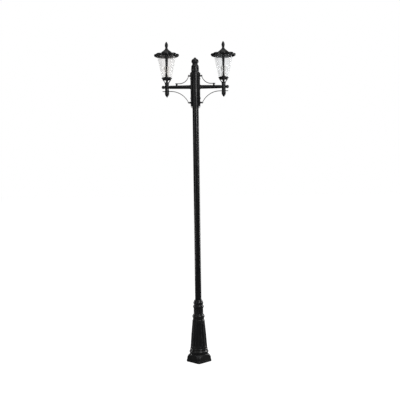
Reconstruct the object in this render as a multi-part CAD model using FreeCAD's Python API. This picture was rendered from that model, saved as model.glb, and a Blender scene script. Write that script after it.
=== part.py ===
import FreeCAD, Part
import math
import os

# A two-armed street lamp post, in millimetres.
# +Z is up, X runs along the arms, and the origin is the centre of the plinth on the ground.
# Everything on the right side is built at +X and turned half round for the left side.

Vector = FreeCAD.Vector
CENTRE = Vector(0, 0, 0)
UP = Vector(0, 0, 1)
OUT = Vector(1, 0, 0)
BACK = Vector(0, 1, 0)

# Pole and base
POLE_R = 31.75
POLE_WALL = 3.25
POLE_TOP = 2968.0
PLATE_SIDE = 150.0
PLATE_THICK = 10.0
ANCHOR_CIRCLE_R = 80.0
ANCHOR_HOLE_R = 6.0
CABLE_ENTRY_R = 25.0
PLINTH_SIDE = 186.0
PLINTH_CORNER_R = 124.0  # from the axis to each rounded corner
PLINTH_STEP = 20.0       # height of the upright foot of the plinth
PLINTH_TOP = 78.0
TRUNK_FOOT = 138.0
TRUNK_FOOT_R = 84.5
TRUNK_HEAD = 415.0
TRUNK_HEAD_R = 61.0
TRUNK_MID = (75.5, 260.0)
CASTING_TOP = 430.0
CASTING_WALL = 6.0
COLLAR_R = 56.0
COLLAR_TOP = 618.0
FLUTES = 16
FLUTE_R = 9.0
SLIP = 0.4               # radial gap between a sleeve and the pole
CROWN_R = 0.6            # small flat on the crown of each turned piece

# Head
SLEEVE_R = 35.2
SLEEVE_LOW = 2550.0
SLEEVE_HIGH = 2915.0
PAD_X = 40.0             # flat pad of the sleeve, where the backplate sits
PAD_Y = 14.0
BACKPLATE_X = 48.5
BACKPLATE_Y = 20.0
END_BEVEL = 24.0         # height of the bevelled ends of pads and plates
CLEAT = 4.0              # how far the thick head of the plate stands out
CAP_R = 38.5
CAP_TOP = 3060.0
GRUB_R = 4.0
SLEEVE_GRUB_Z = 2583.0
CAP_GRUB_Z = 2955.0
COLLAR_GRUB_Z = 568.0

# Arms
ARM_Z = 2763.0
REACH = 286.0            # post axis to lantern axis
ARM_ROOT_R = 19.2
ARM_END_R = 16.3
ARM_FLANGE_R = 22.5
ARM_NECK_R = 13.0        # waist of the arm beside the tee casting
ARM_BORE_R = 9.0
SPIGOT_R = 11.0
BOSS_R = 25.0
BOSS_FLAT = 21.5         # half the boss's length along the arm
STEM_R = 21.2
BOSS_LOW = 2723.5
BOSS_HIGH = 2802.0
TIP_END = 339.0

# Flat-bar brackets
BAR_THICK = 5.0
BAR_WIDE = 22.0
UPPER_ARC = (160.5, 2893.0, 95.0)      # centre x, centre z, radius of the bar's middle line
UPPER_START_Z = 2886.0
UPPER_END_X = 202.0
UPPER_SPOOL_Z = 2875.0
ARM_SPOOL_X = 187.0
LOWER_ARC = (250.0, 2523.0, 198.0)
LOWER_START_Z = 2595.0
LOWER_END_X = 330.0
LOWER_SPOOL_Z = 2605.0
SPOOL_WAIST_R = 6.5
SPOOL_RIM_R = 11.0
SCREW_R = 3.0
SCREW_HEAD_R = 5.5
SCREW_HEAD = 3.3
BOLT_ROWS = (2650.0, 2846.0)
HEX_R = 6.5

# Lantern
SPIDER_HIGH = 2842.0
TRAY_HIGH = 2856.0
TRAY_LOW_R = 44.0
TRAY_HIGH_R = 53.0
GASKET = 2.5
LENS_HIGH = 3082.0
LENS_LOW_R = 49.0
LENS_HIGH_R = 95.2
LENS_WALL = 3.2
CAGE_GAP = 1.0           # between the glass and the straps
STRAP_THICK = 5.0
STRAP_FOOT = 11.4        # half the width of the notch for a strap
RING_IN_R = 96.5
RING_OUT_R = 101.5
RING_LOW = 3080.0
RING_HIGH = 3090.0
NIPPLE_R = 6.0
NIPPLE_BORE_R = 4.5
NIPPLE_LOW = 2780.0
HOLDER_R = 20.0
HOLDER_LOW = 2862.0
HOLDER_HIGH = 2900.0
SOCKET_R = 13.3
LAMP_CAP_R = 13.25
LAMP_R = 30.0
LAMP_TOP = 2979.0
LEAD_R = 2.5
LEAD_BEND = 15.0
LEAD_X = 10.0            # where a lead meets the terminal block
TERMINAL_LOW = 2800.0

# Roof
BRIM_R = 126.0
LOBES = 8
LOBE_R = 46.0
NOTCH_R = 107.0          # from the lantern's axis to the notch between two lobes
BRIM_LOW = 3072.0        # underside of the rolled rim
BRIM_MID = 3085.0
BRIM_HIGH = 3097.0
SKIRT_IN_R = 102.7       # inside of the roof, round the cage ring
SEAT_R = 86.0
ROOF_TOP = 3146.0
ROOF_TOP_R = 17.0
ROOF_FLOOR = 3136.0      # inside of the roof, under its top
STUD_R = 5.0
RUNNING_GAP = 0.05
REST_GAP = 0.5           # between a moving piece and what it rests on
FINIAL_TOP = 3223.0
LENS_LOW = TRAY_HIGH + GASKET


# ---------------------------------------------------------------- shape helpers

def outline(start, *steps):
    """Closed face in the XZ plane. A step is a point, or (middle, end) of an arc."""
    edges, here = [], Vector(start[0], 0, start[1])
    for step in steps + (start,):
        if isinstance(step[0], tuple):
            middle, end = step
            there = Vector(end[0], 0, end[1])
            arc = Part.Arc(here, Vector(middle[0], 0, middle[1]), there)
            edges.append(arc.toShape())
        else:
            there = Vector(step[0], 0, step[1])
            if here.distanceToPoint(there) > 1e-6:
                edges.append(Part.makeLine(here, there))
        here = there
    return Part.Face(Part.Wire(edges))


def turned(start, *steps):
    """Solid of revolution about the Z axis."""
    return outline(start, *steps).revolve(CENTRE, UP, 360)


def rod(radius, start, end):
    """Round bar between two points."""
    way = end.sub(start)
    return Part.makeCylinder(radius, way.Length, start, way)


def block(low, high):
    """Box between two corners."""
    size = Vector(*high).sub(Vector(*low))
    return Part.makeBox(size.x, size.y, size.z, Vector(*low))


def tube(outer, inner, low, high, x=0.0):
    """Upright tube on the axis through x."""
    solid = rod(outer, Vector(x, 0, low), Vector(x, 0, high))
    return solid.cut(rod(inner, Vector(x, 0, low - 1), Vector(x, 0, high + 1)))


def around(shape, count, first=0.0, x=0.0):
    """Copies of a shape turned evenly about the upright axis through x."""
    copies = []
    for i in range(count):
        copy = shape.copy()
        copy.rotate(Vector(x, 0, 0), UP, first + 360.0 * i / count)
        copies.append(copy)
    return copies


def moved(shape, x=0.0, z=0.0):
    """Shape shifted along X and Z."""
    copy = shape.copy()
    copy.translate(Vector(x, 0, z))
    return copy


def cut_all(shape, tools):
    """Shape with several tools cut from it."""
    for tool in tools:
        shape = shape.cut(tool)
    return shape


def set_screws(places, length):
    """Set screws from (tip, direction) places, each with a socket in its outer end, and their holes."""
    screws, holes = [], []
    for tip, way in places:
        outer = tip + way * length
        screw = rod(GRUB_R, tip, outer)
        screws.append(screw.cut(rod(GRUB_R * 0.45, outer - way * 3.0, outer + way)))
        holes.append(rod(GRUB_R, tip - way, outer + way * 20))
    return screws, holes


def compass(height, radius, *angles):
    """Places on a ring at a height, each with its outward direction."""
    places = []
    for angle in angles:
        way = Vector(math.cos(math.radians(angle)), math.sin(math.radians(angle)), 0)
        places.append((way * radius + UP * height, way))
    return places


def button_screw(seat, way, length):
    """Screw whose head sits on a seat and whose shank runs back along -way."""
    head = rod(SCREW_HEAD_R, seat, seat + way * SCREW_HEAD)
    return head.fuse(rod(SCREW_R, seat - way * length, seat + way * 1.0)).removeSplitter()


def group(solids):
    """Several separate solids as one shape."""
    return Part.makeCompound(solids)


# ---------------------------------------------------------------- base and pole

def make_base_plate():
    """Square plate, corner to the front, with anchor holes and the cable entry."""
    half = PLATE_SIDE / 2
    plate = block((-half, -half, 0), (half, half, PLATE_THICK))
    plate.rotate(CENTRE, UP, 45)
    hole = rod(ANCHOR_HOLE_R, Vector(ANCHOR_CIRCLE_R, 0, -1), Vector(ANCHOR_CIRCLE_R, 0, PLATE_THICK + 1))
    entry = rod(CABLE_ENTRY_R, Vector(0, 0, -1), Vector(0, 0, PLATE_THICK + 1))
    return cut_all(plate, around(hole, 4) + [entry])


def make_plinth():
    """Square foot with rounded corners whose shoulders meet the round moulding above."""
    half = PLINTH_SIDE / 2
    prism = block((-half, -half, 0), (half, half, PLINTH_TOP))
    prism.rotate(CENTRE, UP, 45)
    slope = turned((0, 0), (PLINTH_CORNER_R, 0), (PLINTH_CORNER_R, PLINTH_STEP), (119, 28),
                   ((116.5, 50), (102, 68)), (half, PLINTH_TOP), (0, PLINTH_TOP))
    return prism.common(slope)


def make_trunk():
    """Round moulding and tapering trunk with hollow flutes."""
    body = turned((0, PLINTH_TOP - 1), (91, PLINTH_TOP - 1), (91, 90), ((96, 101), (92, 112)),
                  ((86.5, 121), (88, 131)), (TRUNK_FOOT_R, TRUNK_FOOT),
                  (TRUNK_MID, (TRUNK_HEAD_R, TRUNK_HEAD)), ((57, 420), (COLLAR_R, CASTING_TOP)), (0, CASTING_TOP))
    low = Vector(TRUNK_FOOT_R + 6.5, 0, TRUNK_FOOT + 16)
    high = Vector(TRUNK_HEAD_R + 6.5, 0, TRUNK_HEAD - 12)
    flute = rod(FLUTE_R, low, high)
    return cut_all(body, around(flute, FLUTES, 180.0 / FLUTES))


def make_base_casting():
    """Hollow casting that covers the foot of the pole."""
    inside = PLINTH_SIDE / 2 - CASTING_WALL
    cavity = block((-inside, -inside, -1), (inside, inside, PLINTH_TOP - 12))
    cavity.rotate(CENTRE, UP, 45)
    throat = inside - CASTING_WALL
    mid_r, mid_z = TRUNK_MID
    bore = turned((0, -1), (throat, -1), (throat, 100), (TRUNK_FOOT_R - 12, TRUNK_FOOT + 4),
                  ((mid_r - 12, mid_z), (TRUNK_HEAD_R - 12, TRUNK_HEAD)), (POLE_R + SLIP, TRUNK_HEAD + 5),
                  (POLE_R + SLIP, CASTING_TOP + 1), (0, CASTING_TOP + 1))
    high = PLINTH_TOP - 2 * CASTING_WALL
    corner_slope = turned((0, -1), (113, -1), (113, 16), ((110, 44), (98, 58)), (throat, high), (0, high))
    solid = make_plinth().fuse(make_trunk()).removeSplitter()
    return cut_all(solid, [cavity.common(corner_slope), bore])


def make_base_collar(holes):
    """Turned collar with three rings that closes the trunk against the pole."""
    body = turned((POLE_R + SLIP, CASTING_TOP), (COLLAR_R, CASTING_TOP), (COLLAR_R, 437),
                  ((61.8, 452), (56, 468)), ((50, 476), (48.5, 490)), (47.2, 528), ((48.5, 536), (52, 542)),
                  ((54.3, 552), (50, 562)), ((45.8, 569), (46.3, 577)), ((49.8, 588), (46, 600)),
                  (38, COLLAR_TOP), (POLE_R + SLIP, COLLAR_TOP))
    slot = rod(4.0, Vector(51.0, 0, 496), Vector(50.4, 0, 522))
    return cut_all(body, around(slot, FLUTES) + holes)


def make_pole_tube(leads):
    """Round tube from the base plate to the cap, with holes for the leads."""
    pole = tube(POLE_R, POLE_R - POLE_WALL, PLATE_THICK, POLE_TOP)
    return pole.cut(leads)


# ---------------------------------------------------------------- head of the post

def bevelled_plate(x_in, x_out, y_half, low, high, top_x, cleat=0.0):
    """Upright plate with narrowed ends, standing out along +X, thicker near its top by a cleat."""
    side = outline((x_in, low), (x_in + 2, low), (x_out, low + END_BEVEL), (x_out, high - 29),
                   (x_out + cleat, high - 26), (x_out + cleat, high - 19), (top_x, high), (x_in, high))
    side.translate(Vector(0, -y_half, 0))
    solid = side.extrude(Vector(0, 2 * y_half, 0))
    narrow, inset = y_half * 0.45, END_BEVEL
    points = [(-narrow, low), (narrow, low), (y_half, low + inset), (y_half, high - inset),
              (narrow, high), (-narrow, high), (-y_half, high - inset), (-y_half, low + inset)]
    face = Part.Face(Part.makePolygon([Vector(x_in - 5, y, z) for y, z in points + points[:1]]))
    return solid.common(face.extrude(Vector(x_out - x_in + 15, 0, 0)))


def make_backplate(tools):
    """Plate that carries one arm's parts, with a thick head."""
    plate = bevelled_plate(PAD_X, BACKPLATE_X, BACKPLATE_Y, SLEEVE_LOW, SLEEVE_HIGH, PAD_X + 2, CLEAT)
    return cut_all(plate, tools)


def make_head_sleeve(tools):
    """Sleeve round the pole with a flat pad on each side."""
    body = rod(SLEEVE_R, Vector(0, 0, SLEEVE_LOW), Vector(0, 0, SLEEVE_HIGH))
    pad = bevelled_plate(20, PAD_X, PAD_Y, SLEEVE_LOW, SLEEVE_HIGH, PAD_X - 1)
    for copy in around(pad, 2):
        body = body.fuse(copy)
    bore = rod(POLE_R + SLIP / 2, Vector(0, 0, SLEEVE_LOW - 1), Vector(0, 0, SLEEVE_HIGH + 1))
    return cut_all(body.removeSplitter(), [bore] + tools)


def make_post_cap(tools):
    """Turned cap with a skirt over the pole, a neck and a ball knob."""
    body = turned((0, SLEEVE_HIGH + REST_GAP), (CAP_R, SLEEVE_HIGH + REST_GAP), ((39.6, 2944), (38, 2966)),
                  ((34, 2980), (27, 2989)), ((26, 2995), (28.5, 3001)), ((36.3, 3024), (24, 3044)),
                  ((15.5, 3048), (12.5, 3053)), ((8, 3058.5), (CROWN_R, CAP_TOP)), (0, CAP_TOP))
    bore = rod(POLE_R + SLIP / 2, Vector(0, 0, SLEEVE_HIGH), Vector(0, 0, POLE_TOP + 2))
    plug = rod(POLE_R - POLE_WALL - 1, Vector(0, 0, POLE_TOP - 18), Vector(0, 0, POLE_TOP + 3))
    return cut_all(body.cut(bore).fuse(plug).removeSplitter(), tools)


def make_terminal_parts():
    """Wiring block on a strip that hangs from the cap, and their screws."""
    high = TERMINAL_LOW + 50
    strip = block((-10, 9, TERMINAL_LOW + 5), (10, 11, POLE_TOP - 18))
    foot = block((-10, -8, POLE_TOP - 20), (10, 11, POLE_TOP - 18))
    body = block((-15, -9, TERMINAL_LOW), (15, 9, high))
    body = body.makeFillet(1.5, [e for e in body.Edges if abs(e.tangentAt(e.FirstParameter).z) > 0.9])
    across = [button_screw(Vector(0, -9, TERMINAL_LOW + z), BACK * -1, 22) for z in (14, 36)]
    cap_screw = button_screw(Vector(0, 0, POLE_TOP - 20), UP * -1, 12)
    screws = across + [cap_screw]
    bracket = cut_all(strip.fuse(foot).removeSplitter(), screws)
    return cut_all(body, across), bracket, screws


# ---------------------------------------------------------------- arm and brackets

def make_arm_tube(tools):
    """Tapered arm with a root flange, and a spigot that enters the tee casting."""
    end = REACH - BOSS_FLAT
    start = Vector(BACKPLATE_X, 0, ARM_Z)
    waist = end - 6
    body = Part.makeCone(ARM_ROOT_R, ARM_END_R, waist - BACKPLATE_X, start, OUT)
    body = body.fuse(Part.makeCone(ARM_END_R, ARM_NECK_R, end - waist, Vector(waist, 0, ARM_Z), OUT))
    body = body.fuse(rod(ARM_FLANGE_R, start, start + OUT * 6))
    body = body.fuse(rod(SPIGOT_R, Vector(end - 1, 0, ARM_Z), Vector(end + 9, 0, ARM_Z))).removeSplitter()
    return cut_all(body, [arm_bore()] + tools)


def arm_bore():
    """Wire way along the arm."""
    return rod(ARM_BORE_R, Vector(BACKPLATE_X - 20, 0, ARM_Z), Vector(REACH, 0, ARM_Z))


def make_arm_boss(tools):
    """Tee casting: a ball at the crossing and an upright stem."""
    at = Vector(REACH, 0, ARM_Z)
    ball = Part.makeSphere(BOSS_R, at)
    ball = ball.common(block((REACH - BOSS_FLAT, -40, ARM_Z - 40), (REACH + BOSS_FLAT, 40, ARM_Z + 40)))
    stem = rod(STEM_R, Vector(REACH, 0, BOSS_LOW), Vector(REACH, 0, BOSS_HIGH))
    entry = rod(SPIGOT_R, Vector(REACH - 30, 0, ARM_Z), Vector(REACH - BOSS_FLAT + 9, 0, ARM_Z))
    riser = rod(NIPPLE_R, at, Vector(REACH, 0, BOSS_HIGH + 1))
    return cut_all(stem.fuse(ball).removeSplitter(), [entry, arm_bore(), riser] + tools)


def make_arm_tip():
    """Rounded end of the arm, with a stud into the tee casting."""
    start = BOSS_FLAT
    end = TIP_END - REACH
    body = turned((0, start), (ARM_NECK_R, start), ((13.6, start + 4), (16.2, start + 11)), (16.4, end - 14),
                  ((12.4, end - 4), (CROWN_R, end)), (0, end))
    body = body.fuse(rod(STUD_R, Vector(0, 0, start - 10), Vector(0, 0, start + 1))).removeSplitter()
    body.rotate(CENTRE, BACK, 90)
    body.translate(Vector(REACH, 0, ARM_Z))
    return body


def make_drop_finial():
    """Pointed finial under the bar, with a stud through it into the tee casting."""
    top = BOSS_LOW - BAR_THICK
    body = turned((0, top), (21.5, top), (21.8, top - 20), ((20.4, top - 29), (17, top - 37)),
                  (CROWN_R + 2, top - 59), (0, top - 59))
    body = body.fuse(rod(STUD_R, Vector(0, 0, top - 1), Vector(0, 0, BOSS_LOW + 16)))
    return moved(body.removeSplitter(), REACH)


def bar_path(arc, start_z, end_x, upward):
    """Flat bar: an arc from the post that runs out level along the arm."""
    cx, cz, radius = arc
    turn = -1 if upward else 1
    rise = start_z - cz
    start_angle = math.atan2(rise, -math.sqrt(radius ** 2 - rise ** 2))
    if start_angle < 0:
        start_angle += 2 * math.pi
    middle_angle = (start_angle + (1.5 if upward else 0.5) * math.pi) / 2

    def on(r, angle):
        return (cx + r * math.cos(angle), cz + r * math.sin(angle))

    outer, inner = radius + BAR_THICK / 2, radius - BAR_THICK / 2
    top = cz + turn * outer
    low = cz + turn * inner
    face = outline(on(outer, start_angle), (on(outer, middle_angle), (cx, top)), (end_x, top), (end_x, low),
                   (cx, low), (on(inner, middle_angle), on(inner, start_angle)))
    face.translate(Vector(0, -BAR_WIDE / 2, 0))
    return face.extrude(Vector(0, BAR_WIDE, 0))


def spool(length):
    """Waisted spacer standing on the XY plane."""
    rim, waist = SPOOL_RIM_R, SPOOL_WAIST_R
    return turned((0, 0), (rim, 0), (rim, 2), ((waist, length / 2), (rim, length - 2)),
                  (rim, length), (0, length))


def make_spools(bars, arm, tools):
    """Upper and lower spool at the post, and one on the arm."""
    shapes = []
    for height, length in ((UPPER_SPOOL_Z, 22.0), (LOWER_SPOOL_Z, 26.0)):
        shape = spool(length)
        shape.rotate(CENTRE, BACK, 90)
        shape.translate(Vector(BACKPLATE_X, 0, height))
        shapes.append(shape)
    rest = UPPER_ARC[1] - UPPER_ARC[2] - BAR_THICK / 2
    foot = ARM_Z + 10
    shapes.append(moved(spool(rest - foot), ARM_SPOOL_X, foot))
    keep = block((BACKPLATE_X, -30, 2500), (REACH, 30, 3000))
    solids = []
    for shape in shapes:
        shape = cut_all(shape.common(keep), bars + [arm] + tools)
        solids.append(max(shape.Solids, key=lambda s: s.Volume))
    return solids


def make_scroll_screws():
    """Screws through the bars and spools into the plate and the arm."""
    cx, cz, radius = UPPER_ARC
    x_up = cx - math.sqrt(radius ** 2 - (UPPER_SPOOL_Z - cz) ** 2) + BAR_THICK / 2 + 0.6
    cx, cz, radius = LOWER_ARC
    x_low = cx - math.sqrt(radius ** 2 - (LOWER_SPOOL_Z - cz) ** 2) + BAR_THICK / 2 + 1.6
    top = UPPER_ARC[1] - UPPER_ARC[2] + BAR_THICK / 2
    return [button_screw(Vector(x_up, 0, UPPER_SPOOL_Z), OUT, x_up - PAD_X - 2),
            button_screw(Vector(x_low, 0, LOWER_SPOOL_Z), OUT, x_low - PAD_X - 2),
            button_screw(Vector(ARM_SPOOL_X, 0, top), UP, top - ARM_Z - ARM_BORE_R - 1)]


def make_backplate_bolts():
    """Hexagon-headed bolts through the backplate into the sleeve's pad."""
    bolts = []
    for height in BOLT_ROWS:
        middle = Vector(BACKPLATE_X, 0, height)
        turns = [math.pi * k / 3 for k in range(7)]
        points = [middle + (BACK * math.cos(a) + UP * math.sin(a)) * HEX_R for a in turns]
        head = Part.Face(Part.makePolygon(points)).extrude(Vector(4, 0, 0))
        shank = rod(GRUB_R, Vector(SLEEVE_R - 1, 0, height), Vector(BACKPLATE_X + 1, 0, height))
        bolts.append(head.fuse(shank).removeSplitter())
    return bolts


# ---------------------------------------------------------------- lantern

def glass_r(z):
    """Outer radius of the glass at a height."""
    share = (z - LENS_LOW) / (LENS_HIGH - LENS_LOW)
    return LENS_LOW_R + share * (LENS_HIGH_R - LENS_LOW_R)


def cone_band(low, high, inner_gap, thick):
    """Conical band that follows the glass at a distance."""
    a, b = glass_r(low) + inner_gap, glass_r(high) + inner_gap
    return turned((a, low), (a + thick, low), (b + thick, high), (b, high))


def make_spider(tools):
    """Open neck: a hub, four slanted legs and a top ring."""
    low = BOSS_HIGH
    high = SPIDER_HIGH
    hub = tube(22.0, NIPPLE_R, low, low + 9)
    ring = tube(TRAY_LOW_R, 33.0, high - 5, high)
    side = outline((12, low + 4), (21.5, low + 4), (TRAY_LOW_R, high - 3), (TRAY_LOW_R, high), (34, high))
    side.translate(Vector(0, -8, 0))
    leg = side.extrude(Vector(0, 16, 0))
    body = hub.fuse(ring)
    for copy in around(leg, 4):
        body = body.fuse(copy)
    return cut_all(body.removeSplitter(), tools)


def make_tray(tools):
    """Flared dish with a raised spigot that centres the glass, notched for the straps."""
    low, high = SPIDER_HIGH, TRAY_HIGH
    body = turned((NIPPLE_R, low), (TRAY_LOW_R, low), ((47, low + 6), (TRAY_HIGH_R, high - 3)),
                  (TRAY_HIGH_R, high), (43.5, high), (43.5, high + 6), (40, high + 6), (38, low + 6),
                  (12, low + 6), (12, HOLDER_LOW - 2), (NIPPLE_R, HOLDER_LOW - 2))
    notch = block((-STRAP_FOOT, -80, low - 1), (STRAP_FOOT, 80, high + 1))
    notch = notch.common(cone_band(low - 1, high + 1, CAGE_GAP - 0.3, 20))
    return cut_all(body, [notch] + tools)


def make_cage(tools):
    """Ring under the roof carried by a strap at the front and one at the back."""
    band = cone_band(SPIDER_HIGH, RING_HIGH - 4, CAGE_GAP, STRAP_THICK)
    low, high = SPIDER_HIGH, RING_HIGH - 4
    foot = STRAP_FOOT - 0.4
    half = outline((0, low), (foot, low), (foot, low + 18), ((6.5, low + 58), (8, low + 110)),
                   (14, high), (0, high))
    strap = half.fuse(half.mirror(CENTRE, OUT)).extrude(Vector(0, 140, 0))
    body = tube(RING_OUT_R, RING_IN_R, RING_LOW, RING_HIGH)
    for copy in around(strap, 2):
        body = body.fuse(band.common(copy))
    envelope = rod(RING_OUT_R, Vector(0, 0, SPIDER_HIGH - 1), Vector(0, 0, RING_HIGH + 1))
    return cut_all(body.common(envelope).removeSplitter(), tools)


def make_cage_screws():
    """Screws through the feet of the straps into the tray."""
    height = SPIDER_HIGH + 6.5
    seat = glass_r(height) + CAGE_GAP + STRAP_THICK + 0.3
    return [button_screw(Vector(0, side * seat, height), BACK * side, 11) for side in (-1, 1)]


def make_lens():
    """Tapered glass, open at both ends."""
    return turned((LENS_LOW_R - LENS_WALL, LENS_LOW), (LENS_LOW_R, LENS_LOW), (LENS_HIGH_R, LENS_HIGH),
                  (LENS_HIGH_R - LENS_WALL, LENS_HIGH))


def make_holder():
    """Lamp holder with its socket."""
    body = turned((NIPPLE_R, HOLDER_LOW), (14, HOLDER_LOW), (HOLDER_R, HOLDER_LOW + 6), (HOLDER_R, HOLDER_HIGH),
                  (SOCKET_R, HOLDER_HIGH), (SOCKET_R, HOLDER_LOW + 6), (NIPPLE_R, HOLDER_LOW + 6))
    return body


def make_lamp():
    """Lamp cap and bulb."""
    low = HOLDER_LOW + 7
    neck = HOLDER_HIGH + 3
    cap = turned((0, low), (5, low), (LAMP_CAP_R, low + 4), (LAMP_CAP_R, neck), (0, neck))
    bulb = turned((0, neck), (LAMP_CAP_R, neck), ((20, neck + 18), (LAMP_R, LAMP_TOP - LAMP_R)),
                  ((LAMP_R * 0.7071, LAMP_TOP - LAMP_R * 0.2929), (CROWN_R, LAMP_TOP)), (0, LAMP_TOP))
    return cap, bulb


def make_lead():
    """Wire from the terminal block along the arm and up to the lamp holder."""
    bend = LEAD_BEND
    points = [Vector(LEAD_X, 0, TERMINAL_LOW), Vector(LEAD_X, 0, ARM_Z + bend), Vector(LEAD_X + bend, 0, ARM_Z),
              Vector(REACH - bend, 0, ARM_Z), Vector(REACH, 0, ARM_Z + bend), Vector(REACH, 0, HOLDER_LOW)]
    slope = bend * (1 - math.sqrt(0.5))
    first = Part.Arc(points[1], Vector(LEAD_X + slope, 0, ARM_Z + slope), points[2])
    second = Part.Arc(points[3], Vector(REACH - slope, 0, ARM_Z + slope), points[4])
    path = Part.Wire([Part.makeLine(points[0], points[1]), first.toShape(), Part.makeLine(points[2], points[3]),
                      second.toShape(), Part.makeLine(points[4], points[5])])
    section = Part.Wire([Part.makeCircle(LEAD_R, points[0], UP)])
    return path.makePipeShell([section], True, True)


# ---------------------------------------------------------------- roof

def lobed_outline():
    """Prism whose plan has one round lobe per lobe of the brim."""
    reach = BRIM_R - LOBE_R
    low, high = Vector(0, 0, BRIM_LOW - 10), Vector(0, 0, ROOF_TOP + 10)
    body = rod(reach, low, high)
    lobe = rod(LOBE_R, low + OUT * reach, high + OUT * reach)
    for copy in around(lobe, LOBES):
        body = body.fuse(copy)
    return body


def make_roof(tools):
    """Roof with a lobed and rolled brim, a step round the cage ring and a seat for the gasket."""
    gasket_top = LENS_HIGH + REST_GAP + GASKET
    stud = STUD_R + RUNNING_GAP
    body = turned((stud, ROOF_TOP), (ROOF_TOP_R, ROOF_TOP), ((36, 3129), (58, 3111.5)),
                  ((79, 3101.5), (104, BRIM_HIGH)), ((119.5, 3095.2), (BRIM_R, BRIM_MID)),
                  ((123.8, 3075.5), (116, BRIM_LOW)), (SKIRT_IN_R, BRIM_LOW), (SKIRT_IN_R, RING_HIGH + REST_GAP),
                  (RING_IN_R, RING_HIGH + REST_GAP), (RING_IN_R, gasket_top), (SEAT_R, gasket_top),
                  (SEAT_R, 3093), ((58, 3103), (30, 3126)), (ROOF_TOP_R, ROOF_FLOOR), (stud, ROOF_FLOOR))
    return cut_all(body.common(lobed_outline()), tools)


def make_roof_screws():
    """Two socket screws through notches of the brim towards the cage ring."""
    tip = Vector(RING_OUT_R + REST_GAP, 0, BRIM_MID)
    seat = Vector(NOTCH_R, 0, BRIM_MID)
    screw = rod(2.5, tip, seat).fuse(rod(4.2, seat, seat + OUT * 4.0)).removeSplitter()
    return around(screw, 2, 180.0 / LOBES)


def make_upper_gasket():
    """Rubber ring under the roof, over the rim of the glass."""
    low = LENS_HIGH + REST_GAP
    return tube(94.5, 88.0, low, low + GASKET)


def make_finial():
    """Pointed finial with a stud through the roof."""
    low = ROOF_TOP + REST_GAP
    return turned((0, 3122), (STUD_R, 3122), (STUD_R, low), (ROOF_TOP_R, low), (ROOF_TOP_R - 0.5, low + 3),
                  ((13, 3155), (12, 3163)), ((14.5, 3168), (16, 3176)), ((15.6, 3190), (12.6, 3203)),
                  ((7.5, 3215), (1.5, FINIAL_TOP - 1)), (0, FINIAL_TOP))


# ---------------------------------------------------------------- put together

def build_side():
    """All pieces of one side, on the +X side of the post."""
    scroll_screws, bolts, cage_screws = make_scroll_screws(), make_backplate_bolts(), make_cage_screws()
    spider = make_spider([])
    tray = make_tray(cage_screws)
    cage = make_cage(cage_screws)
    stud_part, tip = make_drop_finial(), make_arm_tip()
    upper = cut_all(bar_path(UPPER_ARC, UPPER_START_Z, UPPER_END_X, True), scroll_screws)
    lower = cut_all(bar_path(LOWER_ARC, LOWER_START_Z, LOWER_END_X, False), scroll_screws + [stud_part])
    arm = make_arm_tube(scroll_screws)
    wire_way = rod(ARM_BORE_R, Vector(20, 0, ARM_Z), Vector(60, 0, ARM_Z))
    plate = make_backplate([wire_way] + bolts + scroll_screws)
    boss = make_arm_boss([stud_part, tip])
    spools = make_spools([upper, lower], arm, scroll_screws)
    nipple = tube(NIPPLE_R, NIPPLE_BORE_R, NIPPLE_LOW, HOLDER_LOW + 2, REACH)
    lamp_cap, bulb = make_lamp()
    roof_screws = make_roof_screws()
    lantern = {"lantern_spider": spider, "tray": tray, "cage": cage, "lens": make_lens(),
               "lower_gasket": tube(48.4, 44.0, TRAY_HIGH, LENS_LOW), "lamp_holder": make_holder(),
               "lamp_cap": lamp_cap, "lamp_bulb": bulb, "roof": make_roof(roof_screws),
               "roof_screws": group(roof_screws), "upper_gasket": make_upper_gasket(), "finial": make_finial()}
    nodes = {name: moved(shape, REACH) for name, shape in lantern.items()}
    nodes.update({"backplate": plate, "arm_tube": arm, "arm_boss": boss, "arm_tip": tip, "drop_finial": stud_part,
                  "upper_scroll": upper, "lower_scroll": lower, "spools": group(spools), "nipple": nipple,
                  "lead": make_lead()})
    shared = {"backplate_bolts": bolts, "scroll_screws": scroll_screws,
              "cage_screws": [moved(s, REACH) for s in cage_screws]}
    return nodes, shared


def turned_half_round(shape):
    """Copy of a right-hand piece, on the left."""
    copy = shape.copy()
    copy.rotate(CENTRE, UP, 180)
    return copy


def build():
    """Every node of the post by name."""
    side_nodes, shared = build_side()
    nodes = {}
    for name, shape in side_nodes.items():
        nodes["right_" + name] = shape
        nodes["left_" + name] = turned_half_round(shape)
    for name, solids in shared.items():
        nodes[name] = group(solids + [turned_half_round(s) for s in solids])
    wire_ways = rod(ARM_BORE_R, Vector(-60, 0, ARM_Z), Vector(60, 0, ARM_Z))
    collar_screws, collar_holes = set_screws(compass(COLLAR_GRUB_Z, POLE_R, 90, 210, 330), 13.0)
    sleeve_screws, sleeve_holes = set_screws(compass(SLEEVE_GRUB_Z, POLE_R, -90, 90), 4.5)
    cap_screws, cap_holes = set_screws(compass(CAP_GRUB_Z, POLE_R, -90, 90), 6.5)
    terminal, bracket, terminal_screws = make_terminal_parts()
    bolts = nodes["backplate_bolts"].Solids
    scroll_screws = nodes["scroll_screws"].Solids
    nodes.update({
        "base_plate": make_base_plate(),
        "base_casting": make_base_casting(),
        "base_collar": make_base_collar(collar_holes),
        "collar_grub_screws": group(collar_screws),
        "pole_tube": make_pole_tube(wire_ways),
        "head_sleeve": make_head_sleeve([wire_ways] + bolts + scroll_screws + sleeve_holes),
        "sleeve_grub_screws": group(sleeve_screws),
        "post_cap": make_post_cap(cap_holes + terminal_screws),
        "cap_grub_screws": group(cap_screws),
        "terminal_block": terminal,
        "terminal_bracket": bracket,
        "terminal_screws": group(terminal_screws),
    })
    return nodes


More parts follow.
